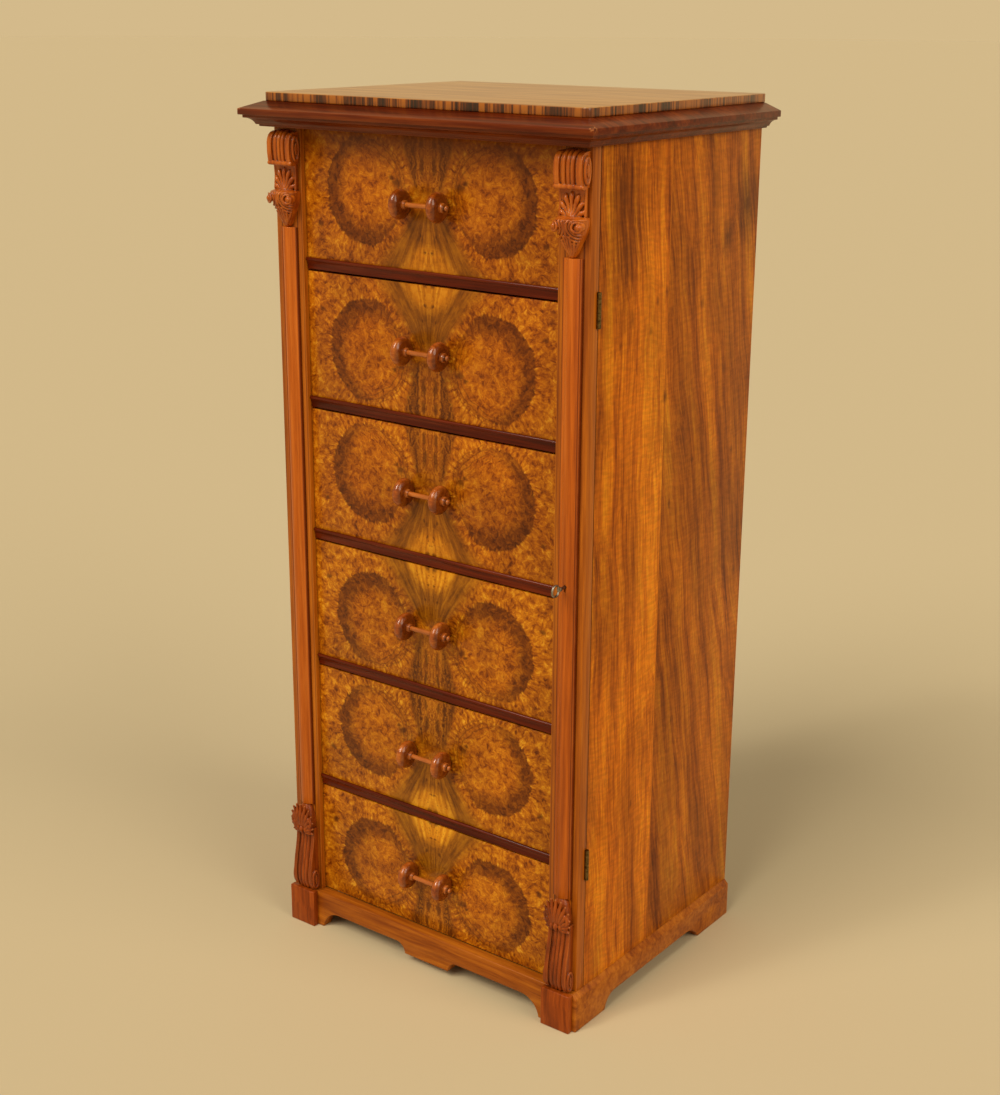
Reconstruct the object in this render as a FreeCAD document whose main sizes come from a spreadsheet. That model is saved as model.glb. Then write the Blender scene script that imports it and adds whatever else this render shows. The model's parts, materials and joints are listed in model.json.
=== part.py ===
import FreeCAD, Part
import math
import os
import re
import Sketcher

# Wellington chest: six drawers between a fixed left pilaster and a hinged, locking right one.
# Millimetres. The origin is the middle of the footprint on the floor, +Z up, the front faces -Y.

doc = FreeCAD.newDocument("WellingtonChest")

# Driving dimensions
sizes = {
    # carcase
    "carcase_width": 512,
    "carcase_depth": 382,
    "carcase_height": 1119,
    "side_thickness": 17,
    "back_thickness": 9,
    "bottom_thickness": 12,
    "sub_top_thickness": 18,
    "dust_board_thickness": 8,
    "guide_height": 15,
    "stop_width": 20,
    "stop_height": 8,
    # plinth
    "plinth_height": 57,
    "plinth_board": 18,
    "plinth_side_proud": 6.5,
    "plinth_front_proud": 9,
    "plinth_chamfer": 7,
    "block_proud": 9.5,
    "block_inset": 1.5,
    "block_overlap": 1,
    "glue_block": 30,
    "apron_foot": 44.5,
    "apron_cove": 32,
    "apron_clear_height": 27.5,
    "pendant_half_width": 40,
    "pendant_cove": 14,
    "pendant_height": 12,
    "side_arch_height": 20.5,
    "side_foot_front": 72,
    "side_foot_rear": 87,
    "side_arch_cove": 22,
    "side_arch_rear_cove": 33,
    # stiles and their mouldings
    "stile_width": 47,
    "stile_thickness": 17,
    "flap_gap": 0.3,
    "flap_end_gap": 0.5,
    "moulding_width": 28,
    "moulding_fillet": 4.5,
    "moulding_fillet_height": 4,
    "moulding_height": 9,
    # cornice and top
    "cornice_side_overhang": 27.5,
    "cornice_front_overhang": 40,
    "cornice_height": 32.5,
    "cornice_lap": 20,
    "cornice_slope": 9.5,
    "cornice_fascia": 8,
    "cornice_step": 4.5,
    "cornice_quirk": 4,
    "cornice_cavetto_out": 11.9,
    "cornice_cavetto_rise": 8.5,
    "cornice_bed": 3.3,
    "back_rail": 20,
    "slab_thickness": 11.5,
    "slab_inset": 24.5,
    "slab_corner": 8,
    # drawers
    "top_drawer_height": 183.5,
    "bottom_drawer_height": 168.5,
    "drawer_gap": 3,
    "drawer_end_gap": 2,
    "drawer_side_gap": 0.7,
    "drawer_recess": 7,
    "drawer_front_thickness": 20,
    "drawer_side_thickness": 9,
    "drawer_bottom_thickness": 6,
    "drawer_bottom_lift": 4,
    "drawer_lift": 10,
    "drawer_top_drop": 8,
    "drawer_rear_space": 12,
    "running_gap": 0.3,
    "strip_height": 15.5,
    "strip_bead": 5,
    "strip_proud": 4,
    "strip_foot_proud": 1,
    # handles
    "wheel_radius": 19.5,
    "wheel_width": 18,
    "wheel_rim_round": 5,
    "wheel_spacing": 61,
    "handle_axis_out": 17,
    "collar_radius": 7,
    "collar_length": 2.5,
    "bar_radius": 3.5,
    "neck_radius": 2,
    "neck_length": 1.5,
    "bead_radius": 4,
    "bead_length": 4.5,
    "handle_screw_radius": 2,
    "handle_screw_depth": 12,
    "handle_screw_head": 4,
    # hinges
    "hinge_length": 44,
    "upper_hinge_height": 925.5,
    "lower_hinge_height": 185,
    "hinge_axis_out": 1.5,
    "knuckle_radius": 3,
    "knuckle_count": 5,
    "knuckle_gap": 0.3,
    "hinge_pin_radius": 1.2,
    "leaf_thickness": 1.5,
    "leaf_width": 13,
    "wood_screw_radius": 1.5,
    "wood_screw_length": 14,
    "screw_head_radius": 2.8,
    "screw_head_depth": 1.2,
    # lock
    "key_height": 577,
    "lock_width": 36,
    "lock_length": 50,
    "lock_depth": 12,
    "lock_wall": 1.5,
    "link_plate_thickness": 2,
    "link_plate_width": 22,
    "link_plate_length": 40,
    "staple_reach": 9.5,
    "staple_wall": 1.7,
    "staple_thickness": 3,
    "staple_height": 14,
    "staple_eye_width": 5,
    "staple_eye_height": 7,
    "staple_swing_gap": 2,
    "staple_offset": 9.5,
    "bolt_head_length": 10,
    "bolt_tail_length": 10,
    "bolt_width": 4,
    "bolt_height": 6,
    "bolt_rest_gap": 2,
    "key_offset_up": 10,
    "key_shaft_radius": 2,
    "keyhole_radius": 2.6,
    "keyhole_slot": 2.4,
    "key_bit_reach": 6.5,
    "key_bit_thickness": 1.6,
    "key_bit_length": 4,
    "key_bow_out": 20,
    "key_bow_radius": 7.2,
    "key_wire": 1.5,
    "key_collar_radius": 3.2,
    "key_collar_length": 3,
    # carvings
    "corbel_width": 43,
    "corbel_top_gap": 5,
    "corbel_roll_radius": 19,
    "corbel_reed_depth": 1.5,
    "corbel_band": 7,
    "corbel_neck_proud": 6,
    "corbel_height": 126,
    "shell_height": 31,
    "shell_width": 34,
    "shell_proud": 11,
    "shell_groove": 0.9,
    "shell_groove_depth": 3,
    "leaf_height": 46,
    "leaf_proud": 24,
    "leaf_width_top": 40,
    "leaf_width_tip": 9,
    "foot_height": 138,
    "foot_width": 36,
    "foot_roll_radius": 16,
    "foot_knee_proud": 17.5,
    "foot_ankle_proud": 9,
    "foot_reed": 9,
    "foot_reed_proud": 1.6,
    "foot_leaf_height": 45,
    "foot_leaf_proud": 20,
    "foot_leaf_width": 33,
    # allowances
    "fit_gap": 0.05,
    "overrun": 1,
}

# Shares of a size: how full an arc is, or how far along a size something comes
shares = {
    "apron_cove_share": 0.98,
    "pendant_cove_share": 1.12,
    "side_cove_share": 1.15,
    "cavetto_share": 1.02,
    "slab_corner_share": 1.001,
    "lobe_round_share": 0.75,
    "neck_drop_share": 0.5,
    "neck_top_share": 0.8,
    "leaf_tip_share": 0.3,
    "leaf_side_round_share": 0.85,
    "leaf_brow_share": 0.3,
    "leaf_lip_round_share": 0.28,
    "leaf_back_share": 0.55,
    "leaf_edge_round_share": 0.8,
    "leaf_top_share": 0.42,
    "shin_start_share": 0.4,
    "reed_pitch_share": 0.3125,
    "foot_leaf_round_share": 0.6,
    "foot_brow_share": 0.3,
    "foot_lip_round_share": 0.2,
    "foot_leaf_top_share": 0.6,
    "finger_height_share": 0.25,
    "foot_leaf_base_share": 0.8,
    "hinge_screw_share": 0.3,
    "leaf_screw_share": 0.45,
    "strip_step_share": 0.6,
    "strip_bead_round_share": 0.56,
    "wheel_rim_share": 1.02,
    "collar_end_share": 0.8,
    "bead_peak_share": 0.4,
    "bead_fall_share": 0.8,
    "bead_fall_radius_share": 0.75,
    "bead_end_share": 0.3,
}

sheet = doc.addObject("Spreadsheet::Sheet", "Sizes")
for row, (alias, length) in enumerate(sizes.items(), 1):
    sheet.set(f"A{row}", alias)
    sheet.set(f"B{row}", str(length))
    sheet.setAlias(f"B{row}", alias)
doc.recompute()


def linked(text):
    # An expression in which every size's name points at its cell, and every share stands as its number.
    def named(word):
        return "Sizes." + word[0] if word[0] in sizes else str(shares.get(word[0], word[0]))

    return re.sub(r"[a-z]\w*", named, str(text))


def value(text):
    return float(sheet.evalExpression(linked(text)))


# Places worked out from the driving dimensions
half_carcase = "(carcase_width / 2)"
half_opening = f"({half_carcase} - stile_width)"
inner_side = f"({half_carcase} - side_thickness)"
rear = "((carcase_depth + stile_thickness + cornice_front_overhang) / 2)"
carcase_front = f"({rear} - carcase_depth)"
stile_face = f"({carcase_front} - stile_thickness)"
cornice_face = f"({stile_face} - cornice_front_overhang)"
carcase_top = "(plinth_height + carcase_height)"
lap_height = f"({carcase_top} + sub_top_thickness)"
slab_foot = f"({carcase_top} + cornice_height)"
back_panel_face = f"({rear} - back_thickness)"
drawer_face = f"({stile_face} + drawer_recess)"
drawer_inside = f"({drawer_face} + drawer_front_thickness)"
behind_fronts = f"({drawer_inside} + running_gap)"
drawer_rear = f"({back_panel_face} - drawer_rear_space)"
half_drawer = f"({half_opening} - drawer_side_gap)"
pitch = "((carcase_height - 2 * drawer_end_gap - top_drawer_height - bottom_drawer_height - drawer_gap) / 4)"
stile_middle = f"({half_carcase} - stile_width / 2)"
drawer_numbers = range(1, 7)


def drawer_bottom(number):
    if number == 6:
        return "(plinth_height + drawer_end_gap)"
    return f"({carcase_top} - drawer_end_gap - top_drawer_height - {number - 1} * {pitch})"


def drawer_top(number):
    if number == 1:
        return f"({carcase_top} - drawer_end_gap)"
    return f"({drawer_bottom(number - 1)} - drawer_gap)"


# Ways of making a piece


def place(piece, x="0", y="0", z="0"):
    for axis, text in zip("xyz", (x, y, z)):
        piece.setExpression(f".Placement.Base.{axis}", linked(text))
    return piece


def board(name, x, y, z):
    # A rectangular board between two places along each axis.
    piece = doc.addObject("Part::Box", name)
    for side, (low, high) in zip(("Length", "Width", "Height"), (x, y, z)):
        piece.setExpression(side, linked(f"{high} - ({low})"))
    return place(piece, x[0], y[0], z[0])


def rod(name, axis, radius, length, x, y, z):
    # A round bar that starts at a place and runs along one axis.
    piece = doc.addObject("Part::Cylinder", name)
    piece.setExpression("Radius", linked(radius))
    piece.setExpression("Height", linked(length))
    turns = {"x": (0, 1, 0), "y": (-1, 0, 0)}
    if axis in turns:
        piece.Placement.Rotation = FreeCAD.Rotation(FreeCAD.Vector(turns[axis]), 90)
    return place(piece, x, y, z)


def cut(name, base, *tools):
    for tool in tools:
        piece = doc.addObject("Part::Cut", name)
        piece.Base = base
        piece.Tool = tool
        base = piece
    return base


def joined(name, *pieces):
    piece = doc.addObject("Part::MultiFuse", name)
    piece.Shapes = list(pieces)
    return piece


def shared(name, *pieces):
    piece = doc.addObject("Part::MultiCommon", name)
    piece.Shapes = list(pieces)
    return piece


def group(name, pieces):
    # Like pieces that stay separate solids under one name.
    piece = doc.addObject("Part::Compound", name)
    piece.Links = list(pieces)
    return piece


def mirrored(name, source):
    piece = doc.addObject("Part::Mirroring", name)
    piece.Source = source
    piece.Normal = FreeCAD.Vector(1, 0, 0)
    return piece


def outline(body, plane, points):
    # A closed outline. Each point is (across, up) or (across, up, radius, turn): then an arc of that
    # radius leads to the next point, and turns left for 1 or right for -1.
    origin = body.Origin.OriginFeatures
    sketch = body.newObject("Sketcher::SketchObject", f"{body.Name}Outline")
    sketch.AttachmentSupport = (next(part for part in origin if part.Role == f"{plane}_Plane"), [""])
    sketch.MapMode = "FlatFace"
    places = [FreeCAD.Vector(value(point[0]), value(point[1]), 0) for point in points]
    ends = []
    for index, point in enumerate(points):
        start = places[index]
        finish = places[(index + 1) % len(points)]
        if len(point) == 2:
            edge = sketch.addGeometry(Part.LineSegment(start, finish))
            ends.append((edge, 1, 2))
            continue
        radius = value(point[2])
        chord = finish - start
        left = FreeCAD.Vector(-chord.y, chord.x, 0).normalize()
        rise = math.sqrt(radius**2 - (chord.Length / 2) ** 2)
        centre = start + chord / 2 + left * rise * point[3]
        first, last = (start, finish) if point[3] > 0 else (finish, start)
        angles = [math.atan2(end.y - centre.y, end.x - centre.x) for end in (first, last)]
        circle = Part.Circle(centre, FreeCAD.Vector(0, 0, 1), radius)
        edge = sketch.addGeometry(Part.ArcOfCircle(circle, angles[0], angles[1]))
        ends.append((edge, 1, 2) if point[3] > 0 else (edge, 2, 1))
    for index, (edge, first, last) in enumerate(ends):
        following, following_first, _ = ends[(index + 1) % len(ends)]
        sketch.addConstraint(Sketcher.Constraint("Coincident", edge, last, following, following_first))
    for (edge, first, _), point, spot in zip(ends, points, places):
        for kind, text, length in (("DistanceX", point[0], spot.x), ("DistanceY", point[1], spot.y)):
            number = sketch.addConstraint(Sketcher.Constraint(kind, -1, 1, edge, first, length))
            sketch.setExpression(f"Constraints[{number}]", linked(text))
        if len(point) > 2:
            number = sketch.addConstraint(Sketcher.Constraint("Radius", edge, value(point[2])))
            sketch.setExpression(f"Constraints[{number}]", linked(point[2]))
    return sketch


def moulded(name, plane, points, low, high):
    # An outline drawn on a plane and run from one place to another along that plane's normal.
    body = doc.addObject("PartDesign::Body", name)
    pad = body.newObject("PartDesign::Pad", f"{name}Pad")
    pad.Profile = outline(body, plane, points)
    pad.setExpression("Length", linked(f"{high} - ({low})"))
    body.Tip = pad
    along, start = {"YZ": ("x", low), "XZ": ("y", high), "XY": ("z", low)}[plane]
    return place(body, **{along: start})


def turned(name, plane, points, axis, angle=360):
    # An outline spun about one of its own two axes.
    body = doc.addObject("PartDesign::Body", name)
    spin = body.newObject("PartDesign::Revolution", f"{name}Spin")
    sketch = outline(body, plane, points)
    spin.Profile = sketch
    spin.ReferenceAxis = (sketch, [axis])
    spin.Angle = angle
    body.Tip = spin
    return body


nodes = {}


def node(name, piece):
    piece.Label = name
    nodes[name] = piece
    return piece


# Carcase


def side_panel(name, side):
    rebate = "back_thickness"
    panel = board(
        name, (inner_side, half_carcase), (carcase_front, rear), ("plinth_height", carcase_top)
    )
    groove = board(
        "Rebate",
        (f"{inner_side} - overrun", f"{half_carcase} - {rebate}"),
        (back_panel_face, f"{rear} + overrun"),
        ("plinth_height - overrun", f"{carcase_top} + overrun"),
    )
    if side < 0:
        return mirrored(name, cut("LeftSide", panel, groove))
    return cut(name, panel, groove, *hinge_recesses("side"), *screw_holes("side"))


def back_panel():
    half = f"({half_carcase} - back_thickness)"
    return board("BackPanel", (f"-{half}", half), (back_panel_face, rear), ("plinth_height", carcase_top))


def carcase_bottom():
    return board(
        "CarcaseBottom",
        (f"-{inner_side}", inner_side),
        (behind_fronts, back_panel_face),
        ("plinth_height", "plinth_height + bottom_thickness"),
    )


def sub_top():
    return board(
        "SubTop", (f"-{half_carcase}", half_carcase), (carcase_front, rear), (carcase_top, lap_height)
    )


def runner_height(number):
    # The surface that a drawer's box runs on.
    if number == 6:
        return "(plinth_height + bottom_thickness)"
    return f"({drawer_bottom(number)} + drawer_lift)"


def dust_boards():
    boards = [
        board(
            "DustBoard",
            (f"-{inner_side}", inner_side),
            (behind_fronts, back_panel_face),
            (f"{runner_height(number)} - dust_board_thickness", runner_height(number)),
        )
        for number in drawer_numbers[:-1]
    ]
    return group("DustBoards", boards)


def drawer_guides():
    guides = [
        board(
            "Guide",
            across,
            (behind_fronts, drawer_rear),
            (runner_height(number), f"{runner_height(number)} + guide_height"),
        )
        for number in drawer_numbers
        for across in ((f"-{inner_side}", f"-{half_opening}"), (half_opening, inner_side))
    ]
    return group("DrawerGuides", guides)


def drawer_stops():
    middle = f"({half_drawer} - stop_width)"
    stops = [
        board(
            "Stop",
            across,
            (f"{drawer_rear} + running_gap", back_panel_face),
            (runner_height(number), f"{runner_height(number)} + stop_height"),
        )
        for number in drawer_numbers
        for across in ((f"-{half_drawer}", f"-{middle}"), (middle, half_drawer))
    ]
    return group("DrawerStops", stops)


def inner_posts():
    # Posts beside the drawer fronts: the left stile is glued to one, the flap closes on the other.
    left, right = (
        board("Post", across, (carcase_front, behind_fronts), ("plinth_height", carcase_top))
        for across in ((f"-{inner_side}", f"-{half_opening}"), (half_opening, inner_side))
    )
    return group("InnerPosts", [left, cut("RightPost", right, link_plate_recess())])


# Plinth


def plinth_front_y():
    return f"({stile_face} - plinth_front_proud)"


plinth_half = f"({half_carcase} + plinth_side_proud)"
plinth_inner = f"({plinth_half} - plinth_board)"


def plinth_front():
    foot = f"({plinth_inner} - apron_foot)"
    cove = f"({foot} - apron_cove)"
    drop = "(pendant_half_width + pendant_cove)"
    cove_radius = "(apron_cove * apron_cove_share)"
    drop_radius = "(pendant_cove * pendant_cove_share)"
    points = [
        (f"-{plinth_inner}", "0"),
        (f"-{foot}", "0", cove_radius, -1),
        (f"-{cove}", "apron_clear_height"),
        (f"-{drop}", "apron_clear_height", drop_radius, -1),
        ("-pendant_half_width", "pendant_height"),
        ("pendant_half_width", "pendant_height", drop_radius, -1),
        (drop, "apron_clear_height"),
        (cove, "apron_clear_height", cove_radius, -1),
        (foot, "0"),
        (plinth_inner, "0"),
        (plinth_inner, "plinth_height"),
        (f"-{plinth_inner}", "plinth_height"),
    ]
    front = plinth_front_y()
    return moulded("PlinthFront", "XZ", points, front, f"{front} + plinth_board")


def plinth_side(name, side):
    front = plinth_front_y()
    arch_front = f"({front} + side_foot_front)"
    arch_rear = f"({rear} - side_foot_rear)"
    radius = "(side_arch_cove * side_cove_share)"
    rear_radius = "(side_arch_rear_cove * side_cove_share)"
    points = [
        (front, "0"),
        (arch_front, "0", radius, -1),
        (f"{arch_front} + side_arch_cove", "side_arch_height"),
        (f"{arch_rear} - side_arch_rear_cove", "side_arch_height", rear_radius, -1),
        (arch_rear, "0"),
        (rear, "0"),
        (rear, "plinth_height"),
        (front, "plinth_height"),
    ]
    side_board = moulded("PlinthSide", "YZ", points, plinth_inner, plinth_half)
    bevel = moulded(
        "PlinthBevel",
        "XZ",
        [
            (half_carcase, "plinth_height"),
            (plinth_half, "plinth_height - plinth_chamfer"),
            (f"{plinth_half} + overrun", "plinth_height - plinth_chamfer"),
            (f"{plinth_half} + overrun", "plinth_height + overrun"),
            (half_carcase, "plinth_height + overrun"),
        ],
        f"{front} - overrun",
        f"{rear} + overrun",
    )
    right = cut(name, side_board, bevel)
    return mirrored(name, right) if side < 0 else right


def plinth_back():
    return board(
        "PlinthBack",
        (f"-{plinth_inner}", plinth_inner),
        (f"{rear} - plinth_board", rear),
        ("0", "plinth_height"),
    )


def plinth_blocks():
    inner = f"({half_opening} + block_inset)"
    outer = f"({half_carcase} + block_overlap)"
    front = plinth_front_y()
    blocks = [
        board("Block", across, (f"{front} - block_proud", front), ("0", "plinth_height"))
        for across in ((f"-{outer}", f"-{inner}"), (inner, outer))
    ]
    return group("PlinthBlocks", blocks)


def plinth_glue_blocks():
    inner = f"({plinth_inner} - glue_block)"
    front = f"({plinth_front_y()} + plinth_board)"
    back = f"({rear} - plinth_board)"
    blocks = [
        board("GlueBlock", across, along, ("plinth_height - glue_block", "plinth_height"))
        for across in ((f"-{plinth_inner}", f"-{inner}"), (inner, plinth_inner))
        for along in ((front, f"{front} + glue_block"), (f"{back} - glue_block", back))
    ]
    return group("GlueBlocks", blocks)


# Cornice and top


def cornice_outline(face, inward, lap):
    # The moulding's section, from the foot of the slab round the front to the bed on the carcase.
    # inward is 1 where the wood lies to the plus side of the face, and lap the inner edge's place.
    def at(distance):
        return f"({face} + {inward} * ({distance}))"

    fascia_top = f"({slab_foot} - cornice_slope)"
    fascia_foot = f"({fascia_top} - cornice_fascia)"
    quirk_foot = f"({fascia_foot} - cornice_quirk)"
    cavetto_foot = f"({quirk_foot} - cornice_cavetto_rise)"
    hollow = "(cornice_step + cornice_cavetto_out)"
    carcase = {1: carcase_front, -1: half_carcase}[inward]
    return [
        (lap, slab_foot),
        (at("slab_inset"), slab_foot),
        (at("0"), fascia_top),
        (at("0"), fascia_foot),
        (at("cornice_step"), fascia_foot),
        (at("cornice_step"), quirk_foot, "(cornice_cavetto_out * cavetto_share)", -inward),
        (at(hollow), cavetto_foot),
        (at(f"{hollow} + cornice_bed"), cavetto_foot),
        (at(f"{hollow} + cornice_bed"), carcase_top),
        (carcase, carcase_top),
        (carcase, lap_height),
        (lap, lap_height),
    ]


def cornice_front():
    half = f"({half_carcase} + cornice_side_overhang)"
    lap = f"({carcase_front} + cornice_lap)"
    mitre = f"({cornice_face} + cornice_side_overhang)"
    length = moulded("CorniceFrontRun", "YZ", cornice_outline(cornice_face, 1, lap), f"-{half}", half)
    plan = [
        (f"-{half}", cornice_face),
        (half, cornice_face),
        (half_carcase, mitre),
        (half_carcase, lap),
        (f"-{half_carcase}", lap),
        (f"-{half_carcase}", mitre),
    ]
    return shared("CorniceFront", length, moulded("CorniceFrontPlan", "XY", plan, carcase_top, slab_foot))


def cornice_side(name, side):
    half = f"({half_carcase} + cornice_side_overhang)"
    lap = f"({half_carcase} - cornice_lap)"
    front_lap = f"({carcase_front} + cornice_lap)"
    mitre = f"({cornice_face} + cornice_side_overhang)"
    length = moulded("CorniceSideRun", "XZ", cornice_outline(half, -1, lap), cornice_face, rear)
    plan = [
        (half, cornice_face),
        (half, rear),
        (lap, rear),
        (lap, front_lap),
        (half_carcase, front_lap),
        (half_carcase, mitre),
    ]
    right = shared(name, length, moulded("CorniceSidePlan", "XY", plan, carcase_top, slab_foot))
    return mirrored(name, right) if side < 0 else right


def cornice_back_rail():
    half = f"({half_carcase} - cornice_lap)"
    heights = (lap_height, slab_foot)
    return board("CorniceBackRail", (f"-{half}", half), (f"{rear} - back_rail", rear), heights)


def top_slab():
    half = f"({half_carcase} + cornice_side_overhang - slab_inset)"
    front = f"({cornice_face} + slab_inset)"
    points = [
        (f"-{half}", rear),
        (f"-{half}", f"{front} + slab_corner", "slab_corner * slab_corner_share", 1),
        (f"-{half} + slab_corner", front),
        (f"{half} - slab_corner", front, "slab_corner * slab_corner_share", 1),
        (half, f"{front} + slab_corner"),
        (half, rear),
    ]
    return moulded("TopSlab", "XY", points, slab_foot, f"{slab_foot} + slab_thickness")


# Stiles


def stile_moulding(name):
    half = "(moulding_width / 2)"
    shoulder = f"({half} - moulding_fillet)"
    crown = arc_radius(f"2 * {shoulder}", "moulding_height - moulding_fillet_height")

    def across(distance):
        return f"({stile_middle} + {distance})"

    def out(distance):
        return f"({stile_face} - {distance})"

    points = [
        (across(f"-{half}"), out("0")),
        (across(f"-{half}"), out("moulding_fillet_height")),
        (across(f"-{shoulder}"), out("moulding_fillet_height"), crown, 1),
        (across(shoulder), out("moulding_fillet_height")),
        (across(half), out("moulding_fillet_height")),
        (across(half), out("0")),
    ]
    return moulded(name, "XY", points, "(plinth_height + foot_height)", corbel_foot)


def left_stile():
    return board(
        "LeftStile",
        (f"-{half_carcase}", f"-{half_opening}"),
        (stile_face, carcase_front),
        ("plinth_height", carcase_top),
    )


def flap_stile():
    leaf = board(
        "FlapBoard",
        (half_opening, half_carcase),
        (stile_face, f"{carcase_front} - flap_gap"),
        ("plinth_height + flap_end_gap", f"{carcase_top} - flap_end_gap"),
    )
    return cut("FlapStile", leaf, lock_recess(), keyhole(), *hinge_recesses("flap"), *screw_holes("flap"))


# Carvings, drawn for the right stile and mirrored for the left one

corbel_top = f"({carcase_top} - corbel_top_gap)"
corbel_foot = f"({corbel_top} - corbel_height)"
roll_middle = f"({corbel_top} - corbel_roll_radius)"


def out_from_stile(distance):
    return f"({stile_face} - {distance})"


def reeded_roll(name, half_width, radius, band, depth, height):
    # A half round across the stile: a flat band at each end and three reeds between.
    reed = f"(({half_width} - {band}) * 2 / 3)"
    valley = f"({radius} - {depth})"
    points = [(f"-{half_width}", "0"), (f"-{half_width}", radius), (f"-{half_width} + {band}", radius)]
    for count in range(3):
        points.append((f"-{half_width} + {band} + {count} * {reed}", valley, arc_radius(reed, depth), -1))
    points.append((f"{half_width} - {band}", valley))
    points += [(f"{half_width} - {band}", radius), (half_width, radius), (half_width, "0")]
    roll = turned(name, "XZ", points, "H_Axis", 180)
    return place(roll, stile_middle, stile_face, height)


def arc_radius(chord, rise):
    # The radius of an arc that stands a given rise above its chord.
    return f"(((({chord}) / 2)^2 + ({rise})^2) / (2 * ({rise})))"


def upright(name, half_width, points):
    # A side view in (distance out from the stile, height), run across the stile.
    side_view = [(out_from_stile(point[0]), *point[1:]) for point in points]
    return moulded(
        name, "YZ", side_view, f"{stile_middle} - {half_width}", f"{stile_middle} + {half_width}"
    )


def palmette(base):
    # A fan of seven lobes on half an ellipse, with a groove between each two.
    edges = (-90, -64, -39, -13, 13, 39, 64, 90)

    def across(angle):
        return f"({stile_middle} + shell_width / 2 * sin({angle}))"

    def up(angle):
        return f"({base} + shell_height * cos({angle}))"

    points = []
    for start, finish in zip(edges, edges[1:]):
        chord = f"(shell_height * {math.radians(finish - start):.3f})"
        points.append((across(start), up(start), f"({chord} * lobe_round_share)", -1))
    points.append((across(edges[-1]), up(edges[-1])))
    face = out_from_stile("shell_proud")
    fan = moulded("Palmette", "XZ", points, face, out_from_stile("0"))
    grooves = [
        moulded(
            "PalmetteGroove",
            "XZ",
            [
                (stile_middle, f"{base} + shell_groove"),
                (f"{across(angle)} + shell_groove", f"{up(angle)} + shell_groove"),
                (f"{across(angle)} - shell_groove", f"{up(angle)} + shell_groove"),
            ],
            f"{face} - overrun",
            f"{face} + shell_groove_depth",
        )
        for angle in edges[1:-1]
    ]
    return cut("Palmette", fan, *grooves)


def corbel(name):
    half = "(corbel_width / 2)"
    leaf_top = f"({corbel_foot} + leaf_height)"
    shell_top = f"({leaf_top} + shell_height)"
    roll_sizes = ("corbel_roll_radius", "corbel_band", "corbel_reed_depth")
    roll = reeded_roll("CorbelRoll", half, *roll_sizes, roll_middle)
    neck_top = f"({roll_middle} - corbel_roll_radius * neck_drop_share)"
    stem = upright(
        "CorbelStem",
        f"({half} - corbel_reed_depth)",
        [
            ("0", neck_top),
            ("0", leaf_top),
            ("corbel_neck_proud", leaf_top),
            ("corbel_neck_proud", f"{shell_top} - corbel_band", "corbel_roll_radius * 2", 1),
            ("corbel_roll_radius * neck_top_share", neck_top),
        ],
    )
    fan = palmette(f"({leaf_top} - corbel_reed_depth)")
    brow = f"({leaf_top} - leaf_height * leaf_brow_share)"
    edge_round = "(leaf_height * leaf_edge_round_share)"
    leaf = shared(
        "Leaf",
        upright(
            "LeafSide",
            half,
            [
                ("0", f"{leaf_top} + corbel_reed_depth"),
                ("0", corbel_foot),
                ("leaf_proud * leaf_tip_share", corbel_foot, "leaf_height * leaf_side_round_share", -1),
                ("leaf_proud", brow, "leaf_height * leaf_lip_round_share", -1),
                ("leaf_proud * leaf_back_share", f"{leaf_top} + corbel_reed_depth"),
            ],
        ),
        moulded(
            "LeafFront",
            "XZ",
            [
                (f"{stile_middle} - leaf_width_tip / 2", corbel_foot),
                (f"{stile_middle} + leaf_width_tip / 2", corbel_foot, edge_round, 1),
                (f"{stile_middle} + leaf_width_top / 2", brow),
                (f"{stile_middle} + leaf_width_top * leaf_top_share", f"{leaf_top} + corbel_reed_depth"),
                (f"{stile_middle} - leaf_width_top * leaf_top_share", f"{leaf_top} + corbel_reed_depth"),
                (f"{stile_middle} - leaf_width_top / 2", brow, edge_round, 1),
            ],
            out_from_stile("leaf_proud + overrun"),
            out_from_stile("0"),
        ),
    )
    return joined(name, roll, stem, fan, leaf)


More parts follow.
